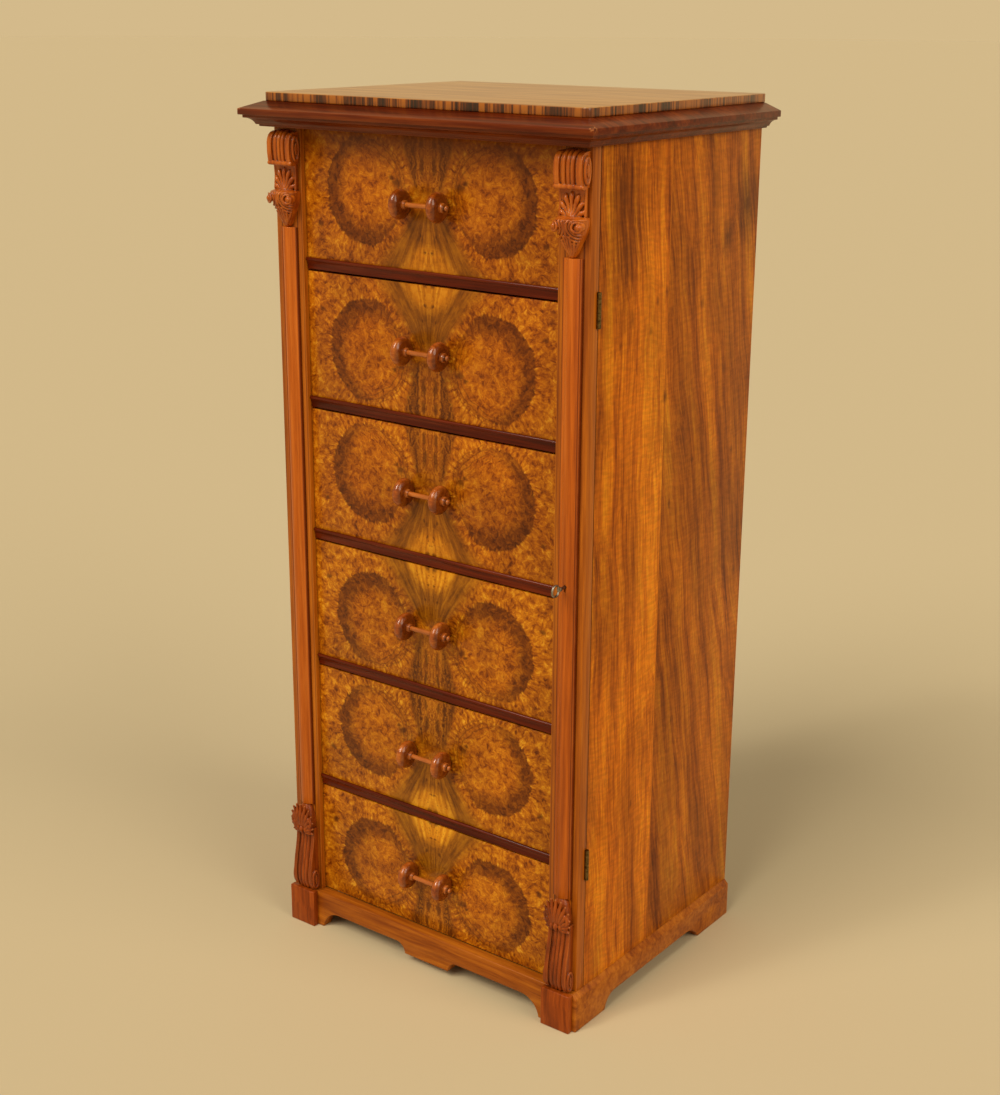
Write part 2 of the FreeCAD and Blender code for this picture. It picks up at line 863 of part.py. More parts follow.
def foot_carving(name):
    # A scrolled leg with three reeds under a cluster of leaves.
    half = "(foot_width / 2)"
    foot = "(plinth_height + flap_end_gap)"
    top = "(plinth_height + foot_height)"
    leaf_foot = f"({top} - foot_leaf_height)"
    middle = f"({foot} + foot_roll_radius)"
    roll = reeded_roll("FootRoll", half, "foot_roll_radius", "(foot_width / 8)", "corbel_reed_depth", middle)

    shin_foot = f"({foot} + foot_roll_radius * shin_start_share)"
    shin = arc_radius(f"{leaf_foot} + overrun - {shin_foot}", "foot_knee_proud - foot_ankle_proud")

    def leg(piece, width, extra):
        return upright(
            piece,
            width,
            [
                ("0", f"{leaf_foot} + overrun"),
                ("0", foot),
                (f"foot_ankle_proud + {extra}", foot),
                (f"foot_ankle_proud + {extra}", shin_foot, shin, -1),
                (f"foot_ankle_proud + {extra}", f"{leaf_foot} + overrun"),
            ],
        )

    reed_half = "(foot_reed / 2)"
    reeds = []
    for count in (-1, 0, 1):
        reed = leg("FootReed", reed_half, "foot_reed_proud")
        across = f"{stile_middle} - {reed_half} + {count} * foot_width * reed_pitch_share"
        reed.setExpression(".Placement.Base.x", linked(across))
        reeds.append(reed)
    leaf = shared(
        "FootLeaf",
        upright(
            "FootLeafSide",
            half,
            [
                ("0", top),
                ("0", leaf_foot),
                ("foot_ankle_proud", leaf_foot, "foot_leaf_height * foot_leaf_round_share", 1),
                (
                    "foot_leaf_proud",
                    f"{top} - foot_leaf_height * foot_brow_share",
                    "foot_leaf_height * foot_lip_round_share",
                    -1,
                ),
                ("foot_leaf_proud * foot_leaf_top_share", top),
            ],
        ),
        foot_leaf_front(top, leaf_foot),
    )
    return joined(name, roll, leg("FootLeg", f"({half} - corbel_reed_depth)", "0"), *reeds, leaf)


def foot_leaf_front(top, low):
    # The cluster's front view: five fingers along the top.
    half = "(foot_leaf_width / 2)"
    finger = "(foot_leaf_width / 5)"
    base = f"({top} - foot_leaf_height * finger_height_share)"
    finger_rise_shares = (0.3, 0.75, 0.95, 0.75, 0.3)
    points = [
        (f"{stile_middle} - {half} * foot_leaf_base_share", low),
        (f"{stile_middle} + {half} * foot_leaf_base_share", low),
    ]
    for count, rise in enumerate(finger_rise_shares):
        start = f"{stile_middle} + {half} - {count} * {finger}"
        peak = f"{stile_middle} + {half} - ({count} + 1 / 2) * {finger}"
        points.append((start, base))
        points.append((peak, f"{base} + foot_leaf_height * finger_height_share * {rise}"))
    points.append((f"{stile_middle} - {half}", base))
    return moulded(
        "FootLeafFront", "XZ", points, out_from_stile("foot_leaf_proud + overrun"), out_from_stile("0")
    )


# Hinges

hinge_x = f"({half_carcase} + hinge_axis_out)"
hinge_y = f"({carcase_front} - flap_gap / 2)"
hinge_heights = ["(plinth_height + upper_hinge_height)", "(plinth_height + lower_hinge_height)"]
leaf_inner = f"({hinge_x} - knuckle_radius - leaf_width)"
leaf_planes = {
    "side": (carcase_front, f"({carcase_front} + leaf_thickness)"),
    "flap": (f"({carcase_front} - flap_gap - leaf_thickness)", f"({carcase_front} - flap_gap)"),
}


def leaf_span(height, extra="0"):
    return (f"{height} - hinge_length / 2 - {extra}", f"{height} + hinge_length / 2 + {extra}")


def hinge_recesses(wing):
    # Seats for the two leaves, and room for the knuckles at the edge of the wood.
    recesses = []
    for height in hinge_heights:
        recesses.append(
            board("LeafSeat", (leaf_inner, f"{half_carcase} + overrun"), leaf_planes[wing], leaf_span(height))
        )
        low, high = leaf_span(height, "running_gap")
        recesses.append(
            rod(
                "KnuckleRoom",
                "z",
                "knuckle_radius + running_gap",
                f"{high} - ({low})",
                hinge_x,
                hinge_y,
                low,
            )
        )
    return recesses


def screw_heights(height):
    return [f"({height} {sign} hinge_length * hinge_screw_share)" for sign in ("-", "+")]


def screw(radius, wing, height, gap="0"):
    # A countersunk screw through a leaf into the wood behind it.
    middle = f"({leaf_inner} + leaf_width * leaf_screw_share)"
    sign = {"side": 1, "flap": -1}[wing]
    start = {"side": carcase_front, "flap": f"({carcase_front} - flap_gap)"}[wing]
    shank = rod("Shank", "y", f"{radius} + {gap}", "wood_screw_length", middle, start, height)
    head = doc.addObject("Part::Cone", "Head")
    head.setExpression("Radius1", linked(f"screw_head_radius + {gap}"))
    head.setExpression("Radius2", linked(f"{radius} + {gap}"))
    head.setExpression("Height", linked("screw_head_depth"))
    head.Placement.Rotation = FreeCAD.Rotation(FreeCAD.Vector(-sign, 0, 0), 90)
    place(head, middle, start, height)
    if sign < 0:
        shank.setExpression(".Placement.Base.y", linked(f"{start} - wood_screw_length"))
    return joined("Screw", shank, head)


def screw_holes(wing):
    return [
        screw("wood_screw_radius", wing, place_up, "fit_gap")
        for height in hinge_heights
        for place_up in screw_heights(height)
    ]


def hinge_screws(name, wing):
    screws = [
        screw("wood_screw_radius", wing, place_up)
        for height in hinge_heights
        for place_up in screw_heights(height)
    ]
    return group(name, screws)


def hinge_leaves(name, wing):
    # Each leaf carries every other knuckle, the fixed one the odd ones.
    leaves = []
    knuckle = "(hinge_length / knuckle_count)"
    first = {"side": 0, "flap": 1}[wing]
    count = int(value("knuckle_count"))
    for height in hinge_heights:
        low, high = leaf_span(height)
        plate = board("Plate", (leaf_inner, hinge_x), leaf_planes[wing], (low, high))
        barrels = []
        gaps = []
        for number in range(count):
            start = f"{low} + {number} * {knuckle}"
            if number % 2 == first:
                barrels.append(
                    rod(
                        "Knuckle",
                        "z",
                        "knuckle_radius",
                        f"{knuckle} - knuckle_gap",
                        hinge_x,
                        hinge_y,
                        f"{start} + knuckle_gap / 2",
                    )
                )
            else:
                gaps.append(
                    rod(
                        "KnuckleSpace",
                        "z",
                        "knuckle_radius + running_gap",
                        f"{knuckle} + knuckle_gap",
                        hinge_x,
                        hinge_y,
                        f"{start} - knuckle_gap / 2",
                    )
                )
        bore = rod(
            "PinBore", "z", "hinge_pin_radius + fit_gap", f"{high} - ({low}) + 2 * overrun", hinge_x, hinge_y,
            f"{low} - overrun",
        )
        holes = [screw("wood_screw_radius", wing, place_up, "fit_gap") for place_up in screw_heights(height)]
        leaf = joined("LeafAndKnuckles", cut("LeafPlate", plate, *gaps), *barrels)
        leaves.append(cut("Leaf", leaf, bore, *holes))
    return group(name, leaves)


def hinge_pins():
    pins = []
    for height in hinge_heights:
        low, high = leaf_span(height)
        pins.append(
            rod("Pin", "z", "hinge_pin_radius", f"{high} - ({low})", hinge_x, hinge_y, low)
        )
    return group("HingePins", pins)


# Lock

key_z = "(plinth_height + key_height)"
bolt_z = f"({key_z} + key_offset_up)"
flap_back = f"({carcase_front} - flap_gap)"
lock_front = f"({flap_back} - lock_depth)"
staple_x = f"({stile_middle} - staple_offset)"
bolt_y = f"({carcase_front} - staple_reach + staple_wall + staple_eye_width / 2)"
moulding_front = f"({stile_face} - moulding_height)"
bolt_start = f"({staple_x} + staple_thickness / 2 + bolt_rest_gap)"


def about(middle, span):
    return (f"{middle} - {span} / 2", f"{middle} + {span} / 2")


def lock_recess():
    return board(
        "LockRecess",
        about(stile_middle, "lock_width"),
        (lock_front, f"{carcase_front} + overrun"),
        about(key_z, "lock_length"),
    )


def keyhole():
    # A round hole with a slot below it for the key's bit, from the case out through the moulding.
    front = f"({moulding_front} - overrun)"
    depth = f"{lock_front} + lock_wall + overrun - {front}"
    bore = rod("KeyBore", "y", "keyhole_radius", depth, stile_middle, front, key_z)
    slot = board(
        "KeySlot",
        about(stile_middle, "keyhole_slot"),
        (front, f"{lock_front} + lock_wall + overrun"),
        (f"{key_z} - key_bit_reach - running_gap", key_z),
    )
    return joined("Keyhole", bore, slot)


def lock_case():
    outer = board(
        "CaseOuter", about(stile_middle, "lock_width"), (lock_front, flap_back), about(key_z, "lock_length")
    )
    inner = board(
        "CaseInner",
        about(stile_middle, "(lock_width - 2 * lock_wall)"),
        (f"{lock_front} + lock_wall", f"{flap_back} - lock_wall"),
        about(key_z, "(lock_length - 2 * lock_wall)"),
    )
    slot = board(
        "StapleSlot",
        about(staple_x, "(staple_thickness + 2 * staple_swing_gap)"),
        (f"{flap_back} - lock_wall - overrun", f"{flap_back} + overrun"),
        about(bolt_z, "(staple_height + 2 * running_gap)"),
    )
    return cut("LockCase", outer, inner, slot, keyhole())


def link_plate_recess():
    return board(
        "LinkPlateRecess",
        about(staple_x, "link_plate_width"),
        (f"{carcase_front} - overrun", f"{carcase_front} + link_plate_thickness"),
        about(bolt_z, "link_plate_length"),
    )


def lock_link_plate():
    # The plate in the post, with the staple that the bolt enters.
    plate = board(
        "LinkPlate",
        about(staple_x, "link_plate_width"),
        (carcase_front, f"{carcase_front} + link_plate_thickness"),
        about(bolt_z, "link_plate_length"),
    )
    staple = board(
        "Staple",
        about(staple_x, "staple_thickness"),
        (f"{carcase_front} - staple_reach", carcase_front),
        about(bolt_z, "staple_height"),
    )
    eye = board(
        "StapleEye",
        about(staple_x, "(staple_thickness + 2 * overrun)"),
        about(bolt_y, "staple_eye_width"),
        about(bolt_z, "staple_eye_height"),
    )
    return cut("LockLinkPlate", joined("PlateAndStaple", plate, staple), eye)


def lock_bolt():
    # A narrow head that enters the staple, and a tail that fills the case from front to back.
    shoulder = f"({bolt_start} + bolt_head_length)"
    head = board(
        "BoltHead", (bolt_start, shoulder), about(bolt_y, "bolt_width"), about(bolt_z, "bolt_height")
    )
    tail = board(
        "BoltTail",
        (shoulder, f"{shoulder} + bolt_tail_length"),
        (f"{lock_front} + lock_wall + running_gap", f"{flap_back} - lock_wall - running_gap"),
        about(bolt_z, "bolt_height"),
    )
    return joined("LockBolt", head, tail)


def key():
    # The key stands in the lock, its bit hanging down under the bolt.
    tip = f"({flap_back} - lock_wall - running_gap)"
    bow = f"({moulding_front} - key_bow_out)"
    shaft_end = f"({bow} + key_bow_radius)"
    shaft = rod("KeyShaft", "y", "key_shaft_radius", f"{tip} - {shaft_end}", stile_middle, shaft_end, key_z)
    collar = rod(
        "KeyCollar", "y", "key_collar_radius", "key_collar_length", stile_middle, shaft_end, key_z
    )
    ring = doc.addObject("Part::Torus", "KeyBow")
    ring.setExpression("Radius1", linked("key_bow_radius"))
    ring.setExpression("Radius2", linked("key_wire"))
    ring.Placement.Rotation = FreeCAD.Rotation(FreeCAD.Vector(0, 1, 0), 90)
    place(ring, stile_middle, bow, key_z)
    bit = board(
        "KeyBit",
        about(stile_middle, "key_bit_thickness"),
        (f"{tip} - key_bit_length", tip),
        (f"{key_z} - key_bit_reach", key_z),
    )
    return joined("Key", shaft, collar, ring, bit)


# Drawers


def wheel_middle(side):
    return f"({side} * wheel_spacing / 2)"


def handle_height(number):
    # The middle of the drawer's face, above the strip where there is one.
    strip = "0" if number == 6 else "strip_height"
    return f"(({drawer_bottom(number)} + {strip} + {drawer_top(number)}) / 2)"


def handle_screw(number, side, gap):
    # A round-headed screw from inside the drawer into a wheel.
    depth = "(drawer_front_thickness + handle_screw_depth)"
    shank = rod(
        "HandleShank",
        "y",
        f"handle_screw_radius + {gap}",
        depth,
        wheel_middle(side),
        f"{drawer_inside} - {depth}",
        handle_height(number),
    )
    if gap != "0":
        return shank
    head = rod(
        "HandleHead",
        "y",
        "handle_screw_head",
        "handle_screw_radius",
        wheel_middle(side),
        drawer_inside,
        handle_height(number),
    )
    return joined("HandleScrew", shank, head)


def drawer_front(number):
    plain = board(
        "DrawerBoard",
        (f"-{half_drawer}", half_drawer),
        (drawer_face, drawer_inside),
        (drawer_bottom(number), drawer_top(number)),
    )
    return cut("DrawerFront", plain, *(handle_screw(number, side, "fit_gap") for side in (-1, 1)))


def drawer_box(number):
    # Two sides run the whole depth, and the back and the bottom fit between them.
    inner = f"({half_drawer} - drawer_side_thickness)"
    low = f"({runner_height(number)} + running_gap)"
    high = f"({drawer_top(number)} - drawer_top_drop)"
    panel = f"({low} + drawer_bottom_lift)"
    sides = [
        board("BoxSide", across, (drawer_inside, drawer_rear), (low, high))
        for across in ((f"-{half_drawer}", f"-{inner}"), (inner, half_drawer))
    ]
    bottom = board(
        "BoxBottom",
        (f"-{inner}", inner),
        (drawer_inside, drawer_rear),
        (panel, f"{panel} + drawer_bottom_thickness"),
    )
    back = board(
        "BoxBack",
        (f"-{inner}", inner),
        (f"{drawer_rear} - drawer_side_thickness", drawer_rear),
        (f"{panel} + drawer_bottom_thickness", high),
    )
    return group("DrawerBox", [*sides, bottom, back])


def drawer_strip(number):
    # A bead at the top over a hollow that runs back to a thin foot.
    low = drawer_bottom(number)
    step = f"({drawer_face} - strip_proud * strip_step_share)"
    points = [
        (drawer_face, low),
        (drawer_face, f"{low} + strip_height"),
        (step, f"{low} + strip_height", "strip_bead * strip_bead_round_share", 1),
        (step, f"{low} + strip_height - strip_bead", "strip_height", -1),
        (f"{drawer_face} - strip_foot_proud", low),
    ]
    return moulded("Strip", "YZ", points, f"-{half_drawer}", half_drawer)


def wheel(number, side):
    half = "(wheel_width / 2)"
    bore = "(bar_radius + fit_gap)"
    rim = "wheel_rim_round"
    points = [
        (f"-{half}", bore),
        (half, bore),
        (half, f"wheel_radius - {rim}", f"{rim} * wheel_rim_share", 1),
        (f"{half} - {rim}", "wheel_radius"),
        (f"-{half} + {rim}", "wheel_radius", f"{rim} * wheel_rim_share", 1),
        (f"-{half}", f"wheel_radius - {rim}"),
    ]
    disc = turned("Wheel", "XY", points, "H_Axis")
    place(disc, wheel_middle(side), f"{drawer_face} - handle_axis_out", handle_height(number))
    behind = board(
        "WheelFlat",
        about(wheel_middle(side), "(wheel_width + 2 * overrun)"),
        (drawer_face, f"{drawer_face} + wheel_radius"),
        about(handle_height(number), "(2 * wheel_radius + 2 * overrun)"),
    )
    return cut("Wheel", disc, behind, handle_screw(number, side, "fit_gap"))


def handle_bar(number):
    # The bar runs through both wheels, with a collar outside each and a bead on a neck at each end.
    outer = "(wheel_spacing / 2 + wheel_width / 2)"
    collar = f"({outer} + collar_length)"
    neck = f"({collar} + neck_length)"
    bead = f"({neck} + bead_length)"
    half_outline = [
        (outer, "bar_radius"),
        (outer, "collar_radius"),
        (collar, "collar_radius * collar_end_share"),
        (collar, "neck_radius"),
        (neck, "neck_radius"),
        (f"({neck} + bead_length * bead_peak_share)", "bead_radius"),
        (f"({neck} + bead_length * bead_fall_share)", "bead_radius * bead_fall_radius_share"),
        (bead, "bead_radius * bead_end_share"),
    ]
    right = [*half_outline, (bead, "0")]
    left = [(f"-{bead}", "0"), *((f"-{point[0]}", point[1]) for point in reversed(half_outline))]
    bar = turned("HandleBar", "XY", left + right, "H_Axis")
    return place(bar, "0", f"{drawer_face} - handle_axis_out", handle_height(number))


def drawer_handle(number):
    wheels = [wheel(number, side) for side in (-1, 1)]
    screws = [handle_screw(number, side, "0") for side in (-1, 1)]
    return group("Handle", [*wheels, handle_bar(number), *screws])


# The sub-parts

node("top_slab", top_slab())
node("cornice_front", cornice_front())
node("cornice_left", cornice_side("CorniceLeft", -1))
node("cornice_right", cornice_side("CorniceRight", 1))
node("cornice_back_rail", cornice_back_rail())
node("left_side_panel", side_panel("LeftSidePanel", -1))
node("right_side_panel", side_panel("RightSidePanel", 1))
node("back_panel", back_panel())
node("carcase_bottom", carcase_bottom())
node("sub_top", sub_top())
node("dust_boards", dust_boards())
node("drawer_guides", drawer_guides())
node("drawer_stops", drawer_stops())
node("inner_posts", inner_posts())
node("left_stile", left_stile())
node("plinth_blocks", plinth_blocks())
node("plinth_front", plinth_front())
node("plinth_left", plinth_side("PlinthLeft", -1))
node("plinth_right", plinth_side("PlinthRight", 1))
node("plinth_back", plinth_back())
node("plinth_glue_blocks", plinth_glue_blocks())
node("hinge_fixed_leaves", hinge_leaves("FixedLeaves", "side"))
node("hinge_pins", hinge_pins())
node("carcase_hinge_screws", hinge_screws("CarcaseScrews", "side"))
node("lock_link_plate", lock_link_plate())
node("flap_stile", flap_stile())
moulding = stile_moulding("StileMoulding")
node("left_stile_moulding", mirrored("LeftStileMoulding", moulding))
node("flap_moulding", cut("FlapMoulding", moulding, keyhole()))
flap_corbel = node("flap_corbel", corbel("FlapCorbel"))
node("left_corbel", mirrored("LeftCorbel", flap_corbel))
flap_foot = node("flap_foot_carving", foot_carving("FlapFoot"))
node("left_foot_carving", mirrored("LeftFoot", flap_foot))
node("hinge_flap_leaves", hinge_leaves("FlapLeaves", "flap"))
node("flap_hinge_screws", hinge_screws("FlapScrews", "flap"))
node("lock_case", lock_case())
node("lock_bolt", lock_bolt())
node("key", key())
for number in drawer_numbers:
    node(f"drawer_{number}_front", drawer_front(number))
    node(f"drawer_{number}_box", drawer_box(number))
    node(f"drawer_{number}_handle", drawer_handle(number))
    if number != 6:
        node(f"drawer_{number}_strip", drawer_strip(number))

doc.recompute()

failed = [piece.Name for piece in doc.Objects if "Invalid" in piece.State or "Error" in piece.State]
for name, piece in nodes.items():
    if piece.Shape.isNull() or not piece.Shape.isValid() or not piece.Shape.Solids:
        failed.append(name)
if failed:
    raise RuntimeError(f"these did not build: {failed}")

os.makedirs("parts", exist_ok=True)
for name, piece in nodes.items():
    piece.Shape.exportStep(f"parts/{name}.step")
    box = piece.Shape.BoundBox
    print(f"{name}: {len(piece.Shape.Solids)} solid(s), {piece.Shape.Volume:.0f} mm3, {box}")
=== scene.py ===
from functools import partial
import json
from math import copysign, cos, pi, radians, sin

import bmesh
import bpy
from mathutils import Matrix, Vector


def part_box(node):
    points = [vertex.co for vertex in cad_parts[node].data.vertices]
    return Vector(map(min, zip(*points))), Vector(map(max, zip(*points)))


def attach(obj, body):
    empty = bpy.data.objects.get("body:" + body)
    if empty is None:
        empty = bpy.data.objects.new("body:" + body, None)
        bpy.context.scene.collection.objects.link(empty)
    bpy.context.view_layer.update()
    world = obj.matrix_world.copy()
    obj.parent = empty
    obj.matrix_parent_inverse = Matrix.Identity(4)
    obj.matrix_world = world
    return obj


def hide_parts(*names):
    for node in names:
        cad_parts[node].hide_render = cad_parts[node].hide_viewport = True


# Wellington chest in walnut and burr walnut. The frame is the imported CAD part: metres, front facing -Y.
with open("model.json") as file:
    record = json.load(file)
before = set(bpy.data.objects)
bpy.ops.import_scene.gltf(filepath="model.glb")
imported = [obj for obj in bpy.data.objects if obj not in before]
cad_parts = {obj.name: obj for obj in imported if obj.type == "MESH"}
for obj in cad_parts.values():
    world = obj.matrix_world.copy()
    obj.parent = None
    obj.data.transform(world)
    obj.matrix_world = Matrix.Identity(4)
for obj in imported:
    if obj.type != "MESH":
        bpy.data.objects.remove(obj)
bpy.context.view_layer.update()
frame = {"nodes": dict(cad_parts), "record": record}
nodes = frame["nodes"]
scene = bpy.context.scene
bodyOf = {node: body for body, names in frame["record"]["behaviour"]["bodies"].items() for node in names}
mm = 0.001
drawerNumbers = range(1, 7)
print("frame loaded:", len(nodes), "nodes")


# Node helpers

def toLinear(hexText):
    shares = [int(hexText[i:i + 2], 16) / 255 for i in (1, 3, 5)]
    return [c / 12.92 if c <= 0.04045 else ((c + 0.055) / 1.055) ** 2.4 for c in shares] + [1]


threePlaces = (0.38, 0.5, 0.62)  # a noise's dark, middle and light parts lie here


def addNode(tree, kind, inputs=None, out=0, stops=None, **settings):
    # inputs: sockets to link or plain values; stops: three colours, or places with colours or grey levels
    node = tree.nodes.new("ShaderNode" + kind)
    for name, value in settings.items():
        setattr(node, name, value)
    if stops:
        stops = list(zip(threePlaces, stops)) if isinstance(stops[0], str) else stops
        ramp = node.color_ramp.elements
        while len(ramp) < len(stops):
            ramp.new(1)
        for element, (place, colour) in zip(ramp, stops):
            element.position = place
            element.color = toLinear(colour) if isinstance(colour, str) else (colour, colour, colour, 1)
    for name, value in (inputs or {}).items():
        if isinstance(value, bpy.types.NodeSocket):
            tree.links.new(value, node.inputs[name])
        else:
            node.inputs[name].default_value = toLinear(value) if isinstance(value, str) else value
    return node.outputs[out] if node.outputs else node


# settings that nodes share. A colour mix has its share on input 0 and its colours on 6 and 7; a range runs
# from 1 and 2 to 3 and 4.
rgbMix = {"out": 2, "data_type": "RGBA"}
tint = {**rgbMix, "blend_type": "MULTIPLY"}
plus, minus, times, scale = ({"operation": name} for name in ("ADD", "SUBTRACT", "MULTIPLY", "SCALE"))
length = {"out": 1, "operation": "LENGTH"}


def newMaterial(name):
    # object coordinates in mm, so that every pattern is scaled from real millimetres
    material = bpy.data.materials.new(name)
    material.use_nodes = True
    material.node_tree.nodes.clear()
    node = partial(addNode, material.node_tree)
    place = node("VectorMath", {0: node("TexCoord", out="Object"), 3: 1 / mm}, **scale)
    return material, node, place


def finishMaterial(node, colour, height, look):
    # look: roughness over low and high places, bump strength, metal and polish coat
    bump = node("Bump", {"Strength": look.get("bump", 0.08), "Distance": mm, "Height": height})
    rough = node("MapRange", {0: height, 3: look["rough"][0], 4: look["rough"][1]})
    shader = node("BsdfPrincipled", {
        "Base Color": colour, "Roughness": rough, "Normal": bump, "Metallic": look.get("metal", 0),
        "Coat Weight": look.get("coat", 0), "Coat Roughness": look.get("coatRough", 0.1),
        "Specular IOR Level": look.get("specular", 0.5),
    })
    node("OutputMaterial", {0: shader})


edgeWear = {"radius": 1.2, "patches": 20}  # mm: how far in from an arris, and how long each worn length is


def rubbedEdges(node, colour, place, edgeColour, strength):
    # polish rubbed through along the arrises, in broken lengths
    rounded = node("Bevel", {"Radius": edgeWear["radius"] * mm}, samples=4)
    facing = node("NewGeometry", out="Normal")
    bend = node("VectorMath", {0: rounded, 1: facing}, out="Value", operation="DOT_PRODUCT")
    edge = node("MapRange", {0: bend, 1: 0.99, 2: 0.86})
    patches = node("TexNoise", {0: place, "Scale": 1 / edgeWear["patches"], "Detail": 4})
    broken = node("MapRange", {0: patches, 1: 0.4, 2: 0.65, 4: strength})
    rubbed = node("Math", {0: edge, 1: broken}, **times)
    return node("Mix", {0: rubbed, 6: colour, 7: edgeColour}, **rgbMix)


# Materials

burrLook = {
    "bump": 0.05, "rough": (0.4, 0.28), "coat": 0.06, "coatRough": 0.12, "specular": 0.22, "rub": "#C58A3C",
    "ground": [(0.38, "#602802"), (0.44, "#904806"), (0.5, "#B2640C"), (0.56, "#CC7E14"), (0.63, "#E6A432")],
    "inside": [(0.36, "#6A2E04"), (0.43, "#944A07"), (0.5, "#B4640C"), (0.57, "#CA7A14"), (0.65, "#DC9424")],
    "ring": ("#4A1E02", "#6A3004", "#8A4808"), "column": ("#824208", "#A45C0D", "#BE761A"),
    "fan": [(0.36, "#683808"), (0.5, "#90540D"), (0.64, "#B07014")],
    "heart": [(0.36, "#A8620C"), (0.5, "#CE8216"), (0.64, "#E8A42E")],
    "panel": ("#582A05", "#7E4209", "#9C5C0E"),
    # the upper fronts look redder than the lower ones
    "tones": ["#F8EEC4", "#FAF0C4", "#FCF4C8", "#FCFACC", "#FCFCD0", "#FCFCD0"],
    # the figure's plan in mm: off the mirror line, and from the handle towards the fan
    "mirror": 2, "eye": (106, -11), "eyeSpan": (65, 69), "fanRoot": 15,
    # in mm: curls, patches, spaces between pips, slow shade; how far the slow and the fine bends reach
    "curl": 8, "patch": 24, "pips": 5, "drift": 70, "reach": (16, 7),
    "hairs": 18, "strands": 62, "rays": 11,  # how close these lines stand
    # half widths: the light column and its soft edge, the dark panels near the handle and far off
    "columnHalf": {1: 20, 2: 16}, "panelHalf": {3: 22, 4: 42},
    # knots: place and half sizes
    "knots": [(183, 36, 5, 4), (54, -23, 7, 6), (62, -30, 4, 3), (11, -48, 4, 14), (12, -76, 3.4, 8),
              (4, 88, 4, 5), (14, 40, 2, 3), (7, 62, 2, 2)],
    # the ring: its outer side, where it starts and how dark it is on the weak and the strong side
    "strongSide": (0.86, 0.5, 0), "ringStart": {3: 0.88, 4: 0.61}, "ringDark": {3: 0.45, 4: 0.92},
}


def burrEye(node, look, bent):
    # distance from the eye's middle in shares of its size, and hairs that stand round it
    fromEye = node("VectorMath", {0: bent, 1: (*look["eye"], 0)}, **minus)
    shares = [1 / half for half in look["eyeSpan"]]
    fromEye = node("VectorMath", {0: fromEye, 1: (*shares, 0)}, **times)
    eye = node("VectorMath", {0: fromEye}, **length)
    spoke = node("VectorMath", {0: fromEye}, operation="NORMALIZE")
    around = node("VectorMath", {0: spoke, 3: look["hairs"]}, **scale)
    outward = node("CombineXYZ", {2: node("Math", {0: eye, 1: 7.5}, **times)})
    hairs = node("VectorMath", {0: around, 1: outward}, **plus)
    return eye, spoke, node("TexNoise", {0: hairs, "Scale": 1, "Detail": 4})


def burrRing(node, look, eye, spoke, hairs, outline):
    # wide and dark on the outer side, thin strands on the inner side
    ragged = node("Math", {0: eye, 1: node("MapRange", {0: hairs, 3: -0.1, 4: 0.1})}, **plus)
    strong = node("VectorMath", {0: spoke, 1: look["strongSide"]}, out="Value", operation="DOT_PRODUCT")
    strong = node("MapRange", {0: strong, 1: -0.7, 2: 0.4})
    start = node("MapRange", {0: strong, **look["ringStart"]})
    ring = node("MapRange", {0: node("Math", {0: ragged, 1: start}, **minus), 1: -0.08, 2: 0.16})
    for fade in ({0: outline, 1: 1.02, 2: 0.98}, {0: strong, **look["ringDark"]}):
        ring = node("Math", {0: ring, 1: node("MapRange", fade)}, **times)
    strands = node("Math", {0: node("Math", {0: eye, 1: look["strands"]}, **times)}, operation="SINE")
    strands = node("MapRange", {0: strands, 1: 0.4, 2: 1, 4: 0.5})
    for fade in ({0: strong, 1: 0.5, 2: 0}, {0: eye, 1: 0.68, 2: 0.8}, {0: eye, 1: 1.12, 2: 1.02}):
        strands = node("Math", {0: strands, 1: node("MapRange", fade)}, **times)
    return ring, strands


def burrFan(node, look, number, off, up, curl, outline):
    # straight figure spreading from a root below the handle, golden at its heart
    root = node("Math", {0: up, 1: look["fanRoot"]}, **plus)
    turn = node("Math", {0: off, 1: root}, operation="ARCTAN2")
    across = node("Math", {0: turn, 1: look["rays"]}, **times)
    outward = node("Math", {0: up, 1: 0.02}, **times)
    rays = node("CombineXYZ", {0: across, 1: outward, 2: number * 0.35})
    rays = node("TexNoise", {0: rays, "Scale": 1.5, "Detail": 4, "Roughness": 0.55})
    rays = node("Math", {0: rays, 1: 0.7}, **times)
    rays = node("Math", {0: rays, 1: node("Math", {0: curl, 1: 0.3}, **times)}, **plus)
    fan = node("MapRange", {0: turn, 1: 0.78, 2: 0.6})
    for fade in ({0: up, 1: -4, 2: 14}, {0: outline, 1: 0.99, 2: 1.06}):
        fan = node("Math", {0: fan, 1: node("MapRange", fade)}, **times)
    heart = node("Math", {0: off, 1: -1.4, 2: up}, operation="MULTIPLY_ADD")
    heart = node("MapRange", {0: heart, 1: 10, 2: 40})
    heart = node("Math", {0: heart, 1: node("MapRange", {0: up, 1: 44, 2: 64})}, **times)
    return fan, node("Math", {0: heart, 1: fan}, **times), rays


def burrColumn(node, look, off, up):
    # on the handle's other side a light column between dark panels that widen outwards
    below = node("MapRange", {0: up, 1: -6, 2: -24})
    column = node("MapRange", {0: off, **look["columnHalf"]})
    column = node("Math", {0: column, 1: below}, **times)
    width = node("MapRange", {0: up, 1: -14, 2: -80, **look["panelHalf"]})
    panel = node("MapRange", {0: node("Math", {0: width, 1: off}, **minus), 1: -3, 2: 4})
    return column, node("Math", {0: panel, 1: below}, **times)


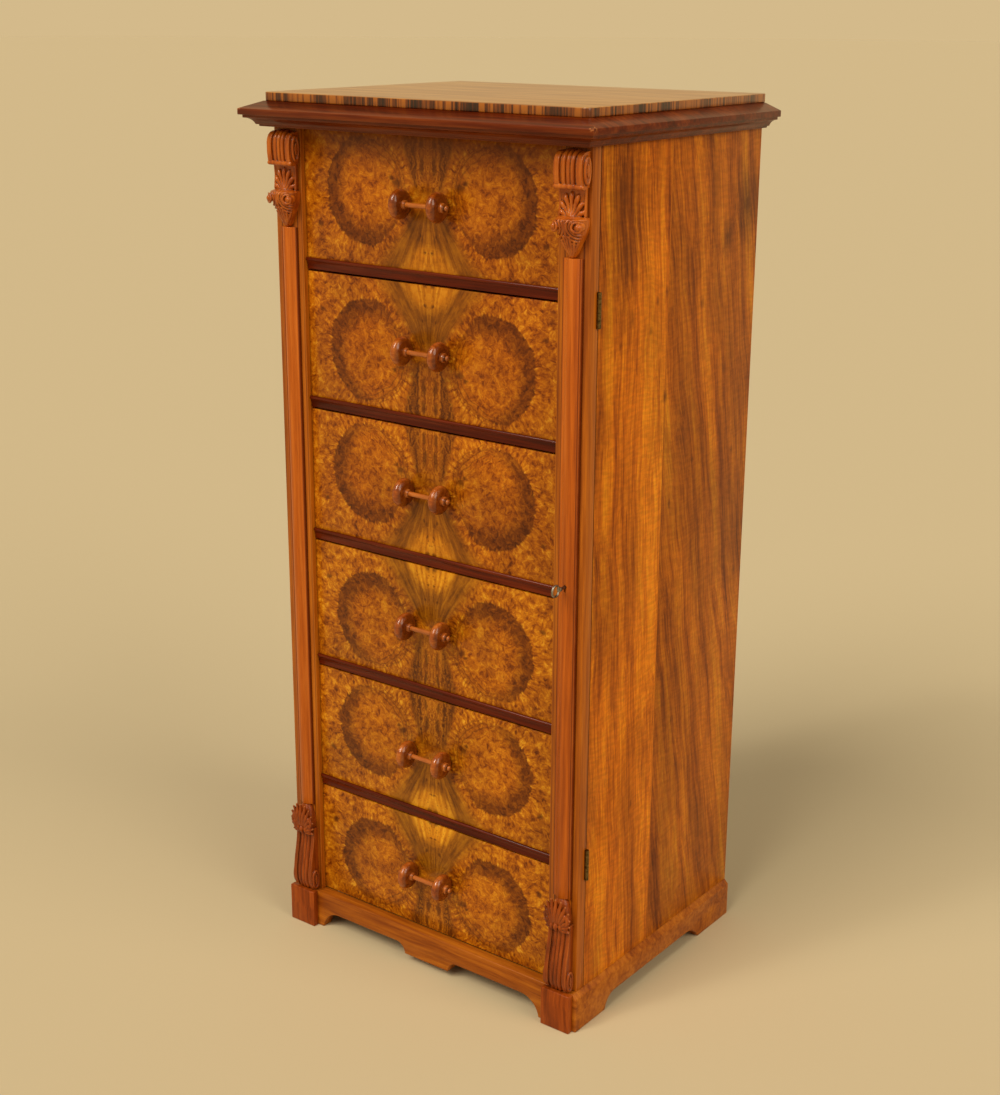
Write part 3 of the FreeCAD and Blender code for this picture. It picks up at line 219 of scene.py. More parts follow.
def burrVeneer(number, axis, fan):
    # Burr walnut: knife-cut leaves laid in mirrored pairs and french polished. To the eye: two dark-ringed
    # figures like butterfly wings, a fan of straight figure between them and honey ground full of pips.
    look = burrLook
    material, node, place = newMaterial(f"burrWalnutPolished{number}")
    across = node("Math", {0: node("SeparateXYZ", {0: place}), 1: look["mirror"]}, **minus)
    off = node("Math", {0: across}, operation="ABSOLUTE")
    height = node("Math", {0: node("SeparateXYZ", {0: place}, out=2), 1: axis / mm}, **minus)
    up = node("Math", {0: height, 1: fan}, **times)
    leaf = node("CombineXYZ", {0: off, 1: up, 2: number * 5.0})

    broad = node("TexNoise", {0: leaf, "Scale": 1 / 40, "Detail": 2}, out=1)  # bends of about 40 mm
    fine = node("TexNoise", {0: leaf, "Scale": 1 / 9, "Detail": 3}, out=1)  # ragged edges of about 9 mm
    bent = leaf
    for noise, reach in zip((broad, fine), look["reach"]):
        shift = node("VectorMath", {0: noise, 1: (0.5, 0.5, 0.5)}, **minus)
        shift = node("VectorMath", {0: shift, 3: reach}, **scale)
        bent = node("VectorMath", {0: bent, 1: shift}, **plus)
    calm = node("Mix", {0: 0.35, 4: leaf, 5: bent}, out=1, data_type="VECTOR")
    calmOff = node("SeparateXYZ", {0: calm})
    calmUp = node("SeparateXYZ", {0: calm}, out=1)

    # fine curls and pips 2 to 9 mm across, drawn lines, and hairs round the eye
    curl = {0: bent, "Scale": 1 / look["curl"], "Detail": 6, "Roughness": 0.72, "Distortion": 0.6}
    curl = node("TexNoise", curl)
    patch = node("TexNoise", {0: leaf, "Scale": 1 / look["patch"], "Detail": 2})
    lines = node("VectorMath", {0: bent, 1: (0.3, 0.02, 1)}, **times)
    lines = node("TexNoise", {0: lines, "Scale": 1, "Detail": 4})
    eye, spoke, hairs = burrEye(node, look, bent)
    outline = node("Math", {0: eye, 1: node("MapRange", {0: hairs, 3: -0.05, 4: 0.05})}, **plus)
    figure = node("Mix", {0: 0.3, 2: curl, 3: patch})
    nearEye = node("MapRange", {0: eye, 1: 1.35, 2: 1.05, 3: 0.15, 4: 0.5})
    figure = node("Mix", {0: nearEye, 2: figure, 3: hairs})
    inner = node("Mix", {0: 0.25, 2: curl, 3: patch})
    ring, strands = burrRing(node, look, eye, spoke, hairs, outline)
    inFan, heart, rays = burrFan(node, look, number, calmOff, calmUp, curl, outline)
    column, panel = burrColumn(node, look, calmOff, calmUp)

    colour = node("ValToRGB", {0: figure}, stops=look["ground"])
    inEye = node("MapRange", {0: outline, 1: 1.0, 2: 0.95})
    layers = [
        (inEye, inner, "inside"), (panel, lines, "panel"), (column, lines, "column"), (inFan, rays, "fan"),
        (heart, rays, "heart"), (strands, None, "panel"), (ring, curl, "ring"),
    ]
    for share, grain, name in layers:
        # the strands have one plain colour, the others a ramp over their grain
        layer = node("ValToRGB", {0: grain}, stops=look[name]) if grain else look[name][0]
        colour = node("Mix", {0: share, 6: colour, 7: layer}, **rgbMix)
    # pips: dark points about 2 mm across, in clusters
    pips = node("TexVoronoi", {0: bent, "Scale": 1 / look["pips"]})
    clusters = node("MapRange", {0: broad, 1: 0.42, 2: 0.64, 4: 0.5})
    pip = node("Math", {0: node("MapRange", {0: pips, 1: 0.36, 2: 0.16}), 1: clusters}, **times)
    colour = node("Mix", {0: pip, 6: colour, 7: look["ring"][1]}, **rgbMix)
    for side, above, wide, high in look["knots"]:
        toKnot = node("VectorMath", {0: bent, 1: (side, above, 0)}, **minus)
        toKnot = node("VectorMath", {0: toKnot, 1: (1 / wide, 1 / high, 0)}, **times)
        knot = node("MapRange", {0: node("VectorMath", {0: toKnot}, **length), 1: 1.3, 2: 0.5, 4: 0.7})
        colour = node("Mix", {0: knot, 6: colour, 7: look["ring"][0]}, **rgbMix)
    # painted shade under the cornice, drawn as a dark band across the top of the first drawer's sheet
    if number == 1:  # a dark band across the top of the first sheet
        band = node("MapRange", {0: node("SeparateXYZ", {0: bent}, out=1), 1: -38, 2: -94, 4: 0.7})
        colour = node("Mix", {0: band, 6: colour, 7: look["ring"][2]}, **rgbMix)
    # one light shade over the whole front, not mirrored, so its halves differ as real leaves do
    drift = node("TexNoise", {0: place, "Scale": 1 / look["drift"], "Detail": 3})
    shade = node("ValToRGB", {0: drift}, stops=[(0.35, 0.77), (0.6, 0.98)])
    colour = node("Mix", {0: 0.8, 6: colour, 7: shade}, **tint)
    colour = node("Mix", {0: 1.0, 6: colour, 7: look["tones"][number - 1]}, **tint)
    colour = rubbedEdges(node, colour, place, look["rub"], 0.4)
    finishMaterial(node, colour, curl, look)
    return material


# the figure's mix of lines and wide bands, how much wider the bands are; pores and specks of chips in mm
sawn = {"lines": 0.55, "bands": 0.45, "bandTimes": 6, "pore": 0.9, "speck": 2.5}


def twoLeaves(node, look, place, swayed):
    # the grain of each leaf leans its own way; gives back the leaning place, each leaf's shade and clouds
    leaves, (spread, low) = look["leaves"], look["clouds"]
    depth = node("SeparateXYZ", {0: place}, out=1)
    rear = node("MapRange", {0: depth, 1: leaves["joint"] - 1, 2: leaves["joint"] + 1})
    lean = node("MapRange", {0: rear, **leaves["lean"]})
    lean = node("Math", {0: node("SeparateXYZ", {0: swayed}, out=2), 1: lean}, **times)
    swayed = node("VectorMath", {0: swayed, 1: node("CombineXYZ", {1: lean})}, **plus)
    shade = node("MapRange", {0: rear, **leaves["shade"]})
    clouds = node("VectorMath", {0: swayed, 1: spread}, **times)
    clouds = node("TexNoise", {0: clouds, "Scale": 1, "Detail": 3})
    return swayed, [shade, node("ValToRGB", {0: clouds}, stops=[(0.36, low), (0.6, 1.0)])]


def darkFlame(node, look, place, lines, colour, flame):
    # a slanting streak between two places on the board
    *ends, halfWidth, dark = flame
    first, last = Vector((0, *ends[:2])), Vector((0, *ends[2:]))
    line = last - first
    fromStart = node("VectorMath", {0: place, 1: first}, **minus)
    toEnd = line / line.length_squared
    share = node("VectorMath", {0: fromStart, 1: toEnd}, out=1, operation="DOT_PRODUCT")
    held = node("Math", {0: share}, **plus, use_clamp=True)
    nearest = node("VectorMath", {0: line, 3: held}, **scale)
    gap = node("VectorMath", {0: fromStart, 1: nearest}, **minus)
    gap = node("VectorMath", {0: gap, 1: look["flameFlat"]}, **times)
    gap = node("VectorMath", {0: gap}, **length)
    ragged = node("Math", {0: gap, 1: node("Math", {0: lines, 1: halfWidth * 2.2}, **times)}, **plus)
    near = node("MapRange", {0: ragged, 1: halfWidth * 2.3, 2: halfWidth * 1.1, 4: dark})
    return node("Mix", {0: near, 6: colour, 7: look["dark"]}, **rgbMix)


def dirtWearAndPaintedLight(node, look, place, colour):
    # dirty joints, chipped mitres and worn arrises, with painted shade in corners, on turned sides and in
    # carved hollow places, and painted highlight on ridges
    for axis, seam, halfWidth, dark in look.get("jointDirtAndShade", []):
        # a dark line along a joint or corner, dirt and painted shade: the axis it lies across, its place,
        # half width, how dark
        away = node("Math", {0: node("SeparateXYZ", {0: place}, out=axis), 1: seam}, **minus)
        away = node("Math", {0: away}, operation="ABSOLUTE")
        dirt = node("MapRange", {0: away, 1: halfWidth, 2: halfWidth * 0.3, 4: dark})
        colour = node("Mix", {0: dirt, 6: colour, 7: look["dark"]}, **rgbMix)
    for middle, radius in look.get("chips", []):
        # polish chipped off an exposed mitre: pale specks 1 to 3 mm across
        away = node("VectorMath", {0: place, 1: middle}, out=1, operation="DISTANCE")
        specks = node("TexNoise", {0: place, "Scale": 1 / sawn["speck"], "Detail": 3})
        specks = node("MapRange", {0: specks, 1: 0.52, 2: 0.6})
        chip = node("MapRange", {0: away, 1: radius, 2: radius / 2})
        chip = node("Math", {0: chip, 1: specks}, **times)
        colour = node("Mix", {0: chip, 6: colour, 7: look["rub"]}, **rgbMix)
    if "sides" in look:
        # painted shade on the sides of the turned wheels, which face along x
        facing = node("SeparateXYZ", {0: node("NewGeometry", out="Normal")})
        facing = node("Math", {0: facing}, operation="ABSOLUTE")
        facing = node("MapRange", {0: facing, 1: 0.4, 2: 0.85, 4: look["sides"]})
        colour = node("Mix", {0: facing, 6: colour, 7: look["dark"]}, **rgbMix)
    if "hollowShadeAndPolish" in look:
        # old polish and painted shade darken the hollow places of carving and turning; wear and painted
        # highlight make the ridges paler
        bend = node("NewGeometry", out="Pointiness")
        hollow = node("MapRange", {0: bend, 1: 0.495, 2: 0.455, 4: look["hollowShadeAndPolish"]})
        colour = node("Mix", {0: hollow, 6: colour, 7: look["dark"]}, **rgbMix)
        ridgeHighlightAndWear = node("MapRange", {0: bend, 1: 0.52, 2: 0.58, 4: 0.45})
        colour = node("Mix", {0: ridgeHighlightAndWear, 6: colour, 7: look["rub"]}, **rgbMix)
    return rubbedEdges(node, colour, place, look["rub"], look["rubbing"])


def sawnGrain(name, look):
    # Straight-grained wood. look: grain (shares along x, y and z, small along the grain), the width of its
    # lines in mm, the colours, and where it has them leaves, ripples, flames, dark joint lines of dirt and
    # painted shade, chips, painted shade on turned sides, and old polish with painted shade and highlight in
    # carving.
    material, node, place = newMaterial(name)
    sway = node("VectorMath", {0: place, 1: look["sway"]}, **times)
    sway = node("TexNoise", {0: sway, "Scale": 1, "Detail": 2}, out=1)
    sway = node("VectorMath", {0: sway, 3: look["swayReach"]}, **scale)
    swayed = node("VectorMath", {0: place, 1: sway}, **plus)
    shades = []
    if "leaves" in look:
        swayed, shades = twoLeaves(node, look, place, swayed)
    along = node("VectorMath", {0: swayed, 1: look["grain"]}, **times)
    lines = {0: along, "Scale": 1 / look["width"], "Detail": 7, "Roughness": look.get("lineRough", 0.6)}
    lines = node("TexNoise", lines)
    bands = node("TexNoise", {0: along, "Scale": 1 / (look["width"] * sawn["bandTimes"]), "Detail": 3})
    bands = node("Math", {0: bands, 1: sawn["bands"]}, **times)
    figure = node("Math", {0: node("Math", {0: lines, 1: sawn["lines"]}, **times), 1: bands}, **plus)
    colour = node("ValToRGB", {0: figure}, stops=look["colours"])
    for shade in shades:
        colour = node("Mix", {0: 1.0, 6: colour, 7: shade}, **tint)
    # pores: short dark dashes, drawn about 0.7 mm wide where real ones are 0.2 mm and would not show
    pores = node("TexNoise", {0: along, "Scale": 1 / sawn["pore"], "Detail": 2})
    pore = node("MapRange", {0: pores, 1: 0.6, 2: 0.72, 4: look["pores"]})
    colour = node("Mix", {0: pore, 6: colour, 7: look["dark"]}, **rgbMix)
    height = figure
    if "ripple" in look:
        # light and dark bars across the grain, one about every 5 mm, that come and go
        ripple = look["ripple"]
        bars = node("VectorMath", {0: swayed, 1: ripple["shares"]}, **times)
        bars = node("TexNoise", {0: bars, "Scale": 1, "Detail": 1})
        bars = node("MapRange", {0: bars, 1: 0.38, 2: 0.62, 3: 1 - ripple["depth"], 4: 1})
        colour = node("Mix", {0: 1.0, 6: colour, 7: bars}, **tint)
        height = node("Math", {0: figure, 1: bars}, **times)
    for flame in look.get("flames", []):
        colour = darkFlame(node, look, place, lines, colour, flame)
    colour = dirtWearAndPaintedLight(node, look, place, colour)
    finishMaterial(node, colour, height, look)
    return material


# Walnut veneer, knife-cut and french polished. To the eye: orange brown with dark drawn lines, silky ripples
# across them, black-brown flames near the top and a soft satin shine.
sideLook = {
    "rough": (0.44, 0.32), "coat": 0.03, "coatRough": 0.15, "specular": 0.12,
    "grain": (1, 1, 0.035), "width": 4, "lineRough": 0.8, "sway": (0.008, 0.008, 0.004), "swayReach": 36,
    "clouds": ((0.016, 0.016, 0.0045), 0.7),  # slow shade: shares along x, y and z, and its darkest
    "dark": "#431A05", "rub": "#C98A45", "rubbing": 0.4, "pores": 0.4,
    "colours": [(0.36, "#763004"), (0.44, "#A65206"), (0.5, "#C86A0A"), (0.56, "#DE800E"), (0.63, "#F09A18")],
    "ripple": {"shares": (0.055, 0.055, 0.21), "depth": 0.17},
    "jointDirtAndShade": [(1, -162.5, 2.2, 0.85)],
    # two leaves meet at this depth; each leans its grain by so much, and the rear one is darker
    "leaves": {"joint": -3, "lean": {3: 0.05, 4: 0.19}, "shade": {3: 1.07, 4: 0.85}},
    # flames: depth and height of both ends, half width, how dark
    "flameFlat": (0, 1, 0.6),
    "flames": [
        (-128, 1205, -112, 1122, 58, 0.62), (-116, 1122, -98, 1040, 26, 0.5), (-98, 1040, -86, 960, 7, 0.5),
        (108, 1196, 142, 1040, 16, 0.85), (164, 1200, 190, 1080, 32, 0.8), (58, 1160, 82, 960, 6, 0.6),
        (172, 1064, 226, 1014, 14, 0.7), (-30, 1090, -6, 985, 5, 0.6), (-46, 1108, -28, 976, 4, 0.6),
        (-31, 958, -3, 849, 6, 0.85), (-50, 976, -42, 940, 4, 0.6), (10, 800, 16, 700, 4, 0.7),
        (150, 792, 176, 742, 5, 0.6), (69, 802, 72, 750, 4, 0.6), (118, 905, 146, 862, 6, 0.5),
        (-60, 330, -56, 290, 4, 0.6), (30, 430, 42, 380, 4, 0.6), (175, 620, 200, 560, 5, 0.5),
        (-120, 1010, -112, 930, 4, 0.5),
    ],
}
# Plain walnut facing, planed and polished: quiet upright lines, with dark lines along its joints and beside
# the moulding, dirt and painted shade.
stileLook = {
    "rough": (0.44, 0.32), "coat": 0.05, "specular": 0.2, "grain": (1, 1, 0.03), "width": 4,
    "sway": (0.02, 0.02, 0.004), "swayReach": 8, "dark": "#5A240A", "rub": "#B8722E", "rubbing": 0.15,
    "pores": 0.3, "colours": ("#88420A", "#AA5A0E", "#C06E16"),
    # dark lines at the stile's joints and where the moulding meets it: dirt and painted shade in the corners
    "jointDirtAndShade": [(0, side * seam, 1.6, dark) for side in (-1, 1)
              for seam, dark in ((218.5, 0.8), (246.5, 0.8), (211, 0.5))],
}
# Mahogany, moulded by plane and polished: redder and smoother than the walnut, with painted shade in its
# quirk and at its edges.
mouldingLook = {
    **stileLook, "bump": 0.1, "rough": (0.38, 0.26), "coat": 0.08, "specular": 0.22, "width": 5,
    "swayReach": 6, "dark": "#571A03", "rub": "#CE7A34", "rubbing": 0.5,
    "colours": ("#98460C", "#B65A10", "#CA6E20"),
    # painted shade at the moulding's edges and in its quirk, with dirt
    "jointDirtAndShade": [(0, side * seam, halfWidth, 0.8) for side in (-1, 1)
              for seam, halfWidth in ((218.5, 2.2), (243.5, 1.3), (246.5, 1.6))],
}
# The same wood cut by gouges: old polish and painted shade black in the hollow places, ridges rubbed pale by
# wear and painted highlight, with small glints.
carvingLook = {
    **mouldingLook, "jointDirtAndShade": [], "width": 4, "swayReach": 10, "grain": (1, 1, 0.08), "hollowShadeAndPolish": 0.95,
    "rub": "#D08A48", "dark": "#300A02", "coat": 0.3, "coatRough": 0.08,
    "colours": ("#8C3C0A", "#AE540E", "#C46A1A"),
}
# Near the floor the carving is darker and duller.
footLook = {**carvingLook, "coat": 0.06, "colours": ("#682A08", "#8A3C0C", "#A04C12")}
# Stained mahogany, moulded and french polished: dark red brown with long soft lights, chipped at the mitres.
corniceLook = {
    "rough": (0.34, 0.26), "coat": 0.03, "specular": 0.2, "grain": (0.04, 1, 1), "width": 5,
    "sway": (0.004, 0.02, 0.02), "swayReach": 6, "dark": "#2A0A02", "rub": "#B87440", "rubbing": 0.35,
    "pores": 0.35, "colours": ("#441402", "#602004", "#7A340A"),
    "chips": [((283.5, -219.5, 1203), 10), ((-283.5, -219.5, 1203), 8), ((283.5, -60, 1206), 5)],
}
# Walnut planed and waxed: drier than the sides, its edges rubbed pale by feet and brooms.
plinthLook = {
    "rough": (0.46, 0.34), "coat": 0.04, "specular": 0.16, "grain": (0.05, 1, 1), "width": 6,
    "sway": (0.006, 0.02, 0.02), "swayReach": 14, "dark": "#4A1C06", "rub": "#BC7C40", "rubbing": 0.8,
    "pores": 0.4, "colours": ("#7C3A0A", "#9E540F", "#B66A18"),
}
# Mahogany blocks with upright grain, a shade redder than the boards between them.
blockLook = {**plinthLook, "grain": (1, 1, 0.05), "colours": ("#6C2C06", "#903F0C", "#A65214")}
# Mahogany bead, stained nearly black and polished: a dark red line with one thin light.
stripLook = {
    **corniceLook, "chips": [], "rough": (0.36, 0.26), "coat": 0.05, "specular": 0.16, "dark": "#260802",
    "rubbing": 0.1, "colours": ("#400E02", "#581803", "#6E2606"),
}
# Mahogany, turned and french polished to a gloss: small bright windows on the wheels, painted shade on the
# wheels' sides, and painted shade with old polish in the hollow places by the collars.
handleLook = {
    **mouldingLook, "jointDirtAndShade": [], "grain": (0.25, 1, 1), "width": 6, "rough": (0.3, 0.22), "coat": 0.7,
    "coatRough": 0.03, "rubbing": 0.1, "specular": 0.2, "sway": (0.03, 0.03, 0.03), "swayReach": 10,
    # painted shade on the wheels' sides and, with old polish, in the hollow places round the collars
    "hollowShadeAndPolish": 0.8, "sides": 0.45, "dark": "#2C0A02", "colours": ("#702C06", "#9A480C", "#B8641A"),
}
# Pine, sawn and left bare inside the carcase: pale, dry and matt with soft lines.
innerLook = {
    "bump": 0.12, "rough": (0.75, 0.6), "specular": 0.3, "grain": (0.06, 1, 1), "width": 5,
    "sway": (0.004, 0.02, 0.02), "swayReach": 12, "dark": "#7A5530", "rub": "#D2B07A", "rubbing": 0.3,
    "pores": 0.35, "colours": ("#A07845", "#B88F58", "#CBA46C"),
}
deepLook = {**innerLook, "grain": (1, 0.06, 1), "sway": (0.02, 0.004, 0.02)}  # grain from front to back
uprightLook = {**innerLook, "grain": (1, 1, 0.05), "sway": (0.02, 0.02, 0.003), "width": 7}
topLook = {
    "rough": (0.34, 0.26), "coat": 0.25, "coatRough": 0.15, "specular": 0.5,
    "grain": (0.045, 1, 1), "width": 7, "rub": "#D9B070", "colours": ("#8A5524", "#A87234", "#BA8644"),
    "stripes": [(0.74, "#240C02"), (0.84, "#522204"), (0.94, "#803E07"), (1.04, "#A65E14")],
    # the stripes' fine and wide sizes in mm, how much the wide ones count, and how far they stretch upright
    "fine": 4, "wide": 22, "wideShare": 0.8, "stretch": (1, 1, 0.03),
}
print("looks set")


def crossBanded(name):
    # Zebra-striped veneer laid across the slab's edge and french polished: upright stripes of black-brown and
    # orange, 2 to 12 mm wide, under the pale figured top.
    look = topLook
    material, node, place = newMaterial(name)
    around = node("VectorMath", {0: place, 1: look["stretch"]}, **times)
    fine = node("TexNoise", {0: around, "Scale": 1 / look["fine"], "Detail": 3, "Roughness": 0.7})
    wide = node("TexNoise", {0: around, "Scale": 1 / look["wide"], "Detail": 2})
    stripe = node("Math", {0: fine, 1: node("Math", {0: wide, 1: look["wideShare"]}, **times)}, **plus)
    edge = node("ValToRGB", {0: stripe}, stops=look["stripes"])
    grain = node("VectorMath", {0: place, 1: look["grain"]}, **times)
    lines = node("TexNoise", {0: grain, "Scale": 1 / look["width"], "Detail": 6})
    top = node("ValToRGB", {0: lines}, stops=look["colours"])
    upward = node("SeparateXYZ", {0: node("NewGeometry", out="Normal")}, out=2)
    upward = node("MapRange", {0: upward, 1: 0.3, 2: 0.7})
    colour = node("Mix", {0: upward, 6: edge, 7: top}, **rgbMix)
    colour = rubbedEdges(node, colour, place, look["rub"], 0.8)
    finishMaterial(node, colour, lines, look)
    return material


metalLooks = {
    # roughness, bump, and the colours of stains, clean metal and worn arrises
    # rolled brass, old: dull olive with darker stains; forged steel, handled: brown-grey with bright ridges
    "rolledBrassOld": ((0.5, 0.32), 0.1, "#3E2F18", "#7A643A", "#B2965C"),
    "forgedSteelHandled": ((0.45, 0.25), 0.12, "#4E4A46", "#A09C96", "#E0DEDA"),
}


def agedMetal(name):
    rough, bump, low, high, bright = metalLooks[name]
    material, node, place = newMaterial(name)
    # stains of about 4 mm
    stain = node("TexNoise", {0: place, "Scale": 1 / 4, "Detail": 6, "Roughness": 0.65})
    colour = node("ValToRGB", {0: stain}, stops=[(0.35, low), (0.6, high)])
    colour = rubbedEdges(node, colour, place, bright, 0.9)
    finishMaterial(node, colour, stain, {"bump": bump, "rough": rough, "metal": 1})
    return material


woods = {
    "side": ("walnutVeneerPolished", sideLook), "stile": ("walnutStraightPolished", stileLook),
    "moulding": ("mahoganyMouldedPolished", mouldingLook), "carving": ("mahoganyCarvedPolished", carvingLook),
    "foot": ("mahoganyCarvedDark", footLook), "cornice": ("mahoganyDarkPolished", corniceLook),
    "plinth": ("walnutCrossPlinth", plinthLook), "block": ("mahoganyBlockPolished", blockLook),
    "strip": ("mahoganyEbonised", stripLook), "handle": ("mahoganyTurnedPolished", handleLook),
    "inner": ("pineSawnPlain", innerLook), "deep": ("pineSawnDeep", deepLook),
    "upright": ("pineSawnUpright", uprightLook),
}
materials = {kind: sawnGrain(name, look) for kind, (name, look) in woods.items()}
materials["slab"] = crossBanded("walnutTopPolished")
materials["brass"], materials["steel"] = (agedMetal(name) for name in metalLooks)
print("materials made")


# Pieces

def finishPiece(piece, node, material):
    piece.data.materials.clear()
    piece.data.materials.append(material)
    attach(piece, bodyOf[node])
    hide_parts(node)


# merge in metres, flat and arris in degrees; faces wider than flatWidth mm keep flat shading
shaping = {"merge": 1e-6, "flat": 0.5, "arris": 32, "flatWidth": 4}


def newPiece(name, work, smoothAngle=35):
    mesh = bpy.data.meshes.new(name)
    work.to_mesh(mesh)
    flatWidth = shaping["flatWidth"] * mm
    smooth = [face.calc_area() < flatWidth * face.calc_perimeter() / 2 for face in work.faces]
    work.free()
    mesh.polygons.foreach_set("use_smooth", smooth)
    mesh.set_sharp_from_angle(angle=radians(smoothAngle))
    piece = bpy.data.objects.new(name, mesh)
    scene.collection.objects.link(piece)
    return piece


def easedPiece(node, ease, material):
    # the node's own shape with its arrises rounded over as hand work leaves them
    work = bmesh.new()
    work.from_mesh(nodes[node].data)
    bmesh.ops.remove_doubles(work, verts=work.verts, dist=shaping["merge"])
    flat = radians(shaping["flat"])
    bmesh.ops.dissolve_limit(work, angle_limit=flat, verts=work.verts, edges=work.edges)
    sharp = radians(shaping["arris"])
    arrises = [edge for edge in work.edges if edge.is_manifold and edge.calc_face_angle() > sharp]
    bmesh.ops.bevel(
        work, geom=arrises, offset=ease * mm, segments=2, profile=0.5, affect="EDGES", clamp_overlap=True,
    )
    finishPiece(newPiece(node + "_eased", work), node, material)


boards = [
    # nodes, how far their arrises are rounded in mm, material, slot
    (["left_side_panel", "right_side_panel"], 0.5, "side", "polished_veneer"),
    (["left_stile", "flap_stile"], 0.5, "stile", "polished_veneer"),
    (["left_stile_moulding", "flap_moulding"], 0.5, "moulding", "polished_solid"),
    (["cornice_front", "cornice_left", "cornice_right"], 0.7, "cornice", "polished_solid"),
    (["plinth_front", "plinth_left", "plinth_right"], 0.9, "plinth", "polished_solid"),
    (["plinth_blocks"], 1.0, "block", "polished_solid"),
    ([f"drawer_{number}_strip" for number in range(1, 6)], 0.5, "strip", "dark_moulding"),
    (["top_slab"], 1.2, "slab", "polished_veneer"),
    (["key"], 0.25, "steel", "lock_steel"),
]
for names, ease, material, slot in boards:
    for name in names:
        easedPiece(name, ease, materials[material])
print("boards eased")


def kindOf(name):
    if name in ("inner_posts", "back_panel"):
        return "upright"
    if name.endswith("_box") or name == "drawer_guides":
        return "deep"
    if name.startswith("lock"):
        return "steel"
    return "brass" if name.startswith("hinge") or name.endswith("hinge_screws") else "inner"


for name, node in nodes.items():
    node.data.materials.clear()
    node.data.materials.append(materials[kindOf(name)])

frontEase = 0.6


def handleAxis(number):
    low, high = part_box(f"drawer_{number}_handle")
    return round((low.z + high.z) / 2, 6)


for number in drawerNumbers:
    fan = -1 if number % 2 else 1  # the fans of two neighbours meet at the strip between them
    veneer = burrVeneer(number, handleAxis(number), fan)
    easedPiece(f"drawer_{number}_front", frontEase, veneer)
print("drawer fronts veneered")


# Turned handles

handle = {
    "spacing": 61, "radius": 19.5, "width": 18, "round": 2.3, "dish": 2.4, "dishRadius": 13, "out": 17,
    "sides": 56, "steps": 28, "bar": 3.3, "waistShare": 0.94, "barSides": 32,
    # outside end of the bar: places past the wheel and radii, collar, neck and bead
    "end": [(0, 6.2), (1.2, 6.4), (2.4, 5.4), (3, 2.8), (3.8, 2), (4.6, 2.9), (5.8, 3.6), (7, 3.2), (8, 1.9),
            (8.4, 0)],
    # collar on the wheel's inner side, and how far its end runs into the bar
    "inner": [(0, 5.8), (1, 5.6), (1.9, 4.4), (2.4, 3.4)], "innerEnd": 2.3,
    # the collars' roots in the wheel: depth, radii of the outer and the inner one, how far they sink in
    "root": 1, "endRoot": 7, "innerRoot": 6.4, "sink": 0.2,
    "flat": 0.05,  # the wheels stand this far off the drawer front, with a small flat
}


def lathe(work, profile, place, sides):
    # a closed turned form about the x axis. profile: (place along x, radius), ends on the axis
    rings = []
    for along, radius in profile:
        turns = [2 * pi * k / sides for k in range(sides if radius > 0 else 1)]
        points = [Vector((along * mm, radius * mm * cos(turn), radius * mm * sin(turn))) for turn in turns]
        rings.append([work.verts.new(place @ point) for point in points])
    for one, two in zip(rings, rings[1:]):
        for k in range(sides):
            n = k + 1
            corners = [one[k % len(one)], one[n % len(one)], two[n % len(two)], two[k % len(two)]]
            work.faces.new(list(dict.fromkeys(corners)))


def wheelProfile():
    # a rounded wheel whose sides are hollowed a little round the collars
    half, steps, profile = handle["width"] / 2, handle["steps"], []
    for k in range(steps + 1):
        t = pi * k / steps
        x = -half * copysign(abs(cos(t)) ** (2 / handle["round"]), cos(t))
        radius = handle["radius"] * max(sin(t), 0) ** (2 / handle["round"])
        hollow = handle["dish"] * max(1 - (radius / handle["dishRadius"]) ** 2, 0)
        profile.append((x - copysign(hollow, x), radius))
    flatEnd = half - handle["dish"]
    profile[0], profile[-1] = (-flatEnd, 0), (flatEnd, 0)
    return profile


def turnedHandle(number):
    node = f"drawer_{number}_handle"
    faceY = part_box(f"drawer_{number}_front")[0].y
    centre = Vector((0, faceY - handle["out"] * mm, handleAxis(number)))
    half, bar, sides = handle["width"] / 2, handle["bar"], handle["barSides"]
    root, face = half - handle["dish"] - handle["root"], half - handle["sink"]
    end = [(root, 0), (root, handle["endRoot"]), *((face + x, r) for x, r in handle["end"])]
    inner = [(-root, 0), (-root, handle["innerRoot"]), *((-face - x, r) for x, r in handle["inner"])]
    inner.append((-half - handle["innerEnd"], 0))
    work = bmesh.new()
    for side in (-1, 1):
        place = Matrix.Translation(centre + Vector((side * handle["spacing"] / 2 * mm, 0, 0)))
        if side < 0:
            place = place @ Matrix.Rotation(pi, 4, "Z")
        lathe(work, wheelProfile(), place, handle["sides"])
        lathe(work, end, place, sides)
        lathe(work, inner, place, sides)
    reach = handle["spacing"] / 2 - half + handle["root"]
    profile = [(-reach, 0), (-reach, bar), (0, bar * handle["waistShare"]), (reach, bar), (reach, 0)]
    lathe(work, profile, Matrix.Translation(centre), sides)
    bmesh.ops.recalc_face_normals(work, faces=work.faces)
    flat = faceY - handle["flat"] * mm
    for vertex in work.verts:
        vertex.co.y = min(vertex.co.y, flat)
    finishPiece(newPiece(node + "_turned", work, 50), node, materials["handle"])


for number in drawerNumbers:
    turnedHandle(number)
print("handles turned")


# Carvings: closed ribs, rolls and lobes are run together by a fine voxel remesh and softened, as a carver's
# gouge and scraper leave them. Places are in mm: across from the carving's middle, out from the stile and up.

# in mm: the remesh's grid, how far the parts are sunk into the stile, the gap under the finished back
carving = {"voxel": 0.55, "sunk": 0.5, "seat": 0.02, "scrape": 0.5, "passes": 3}


def roundedEnd(end, before):
    # two smaller rings past the end of a rib: share of its radius, how far along it
    (point, radius), lead = end, (end[0] - before[0]).normalized()
    return [(point + lead * radius * far, radius * share) for share, far in ((0.05, 1.0), (0.7, 0.72))]


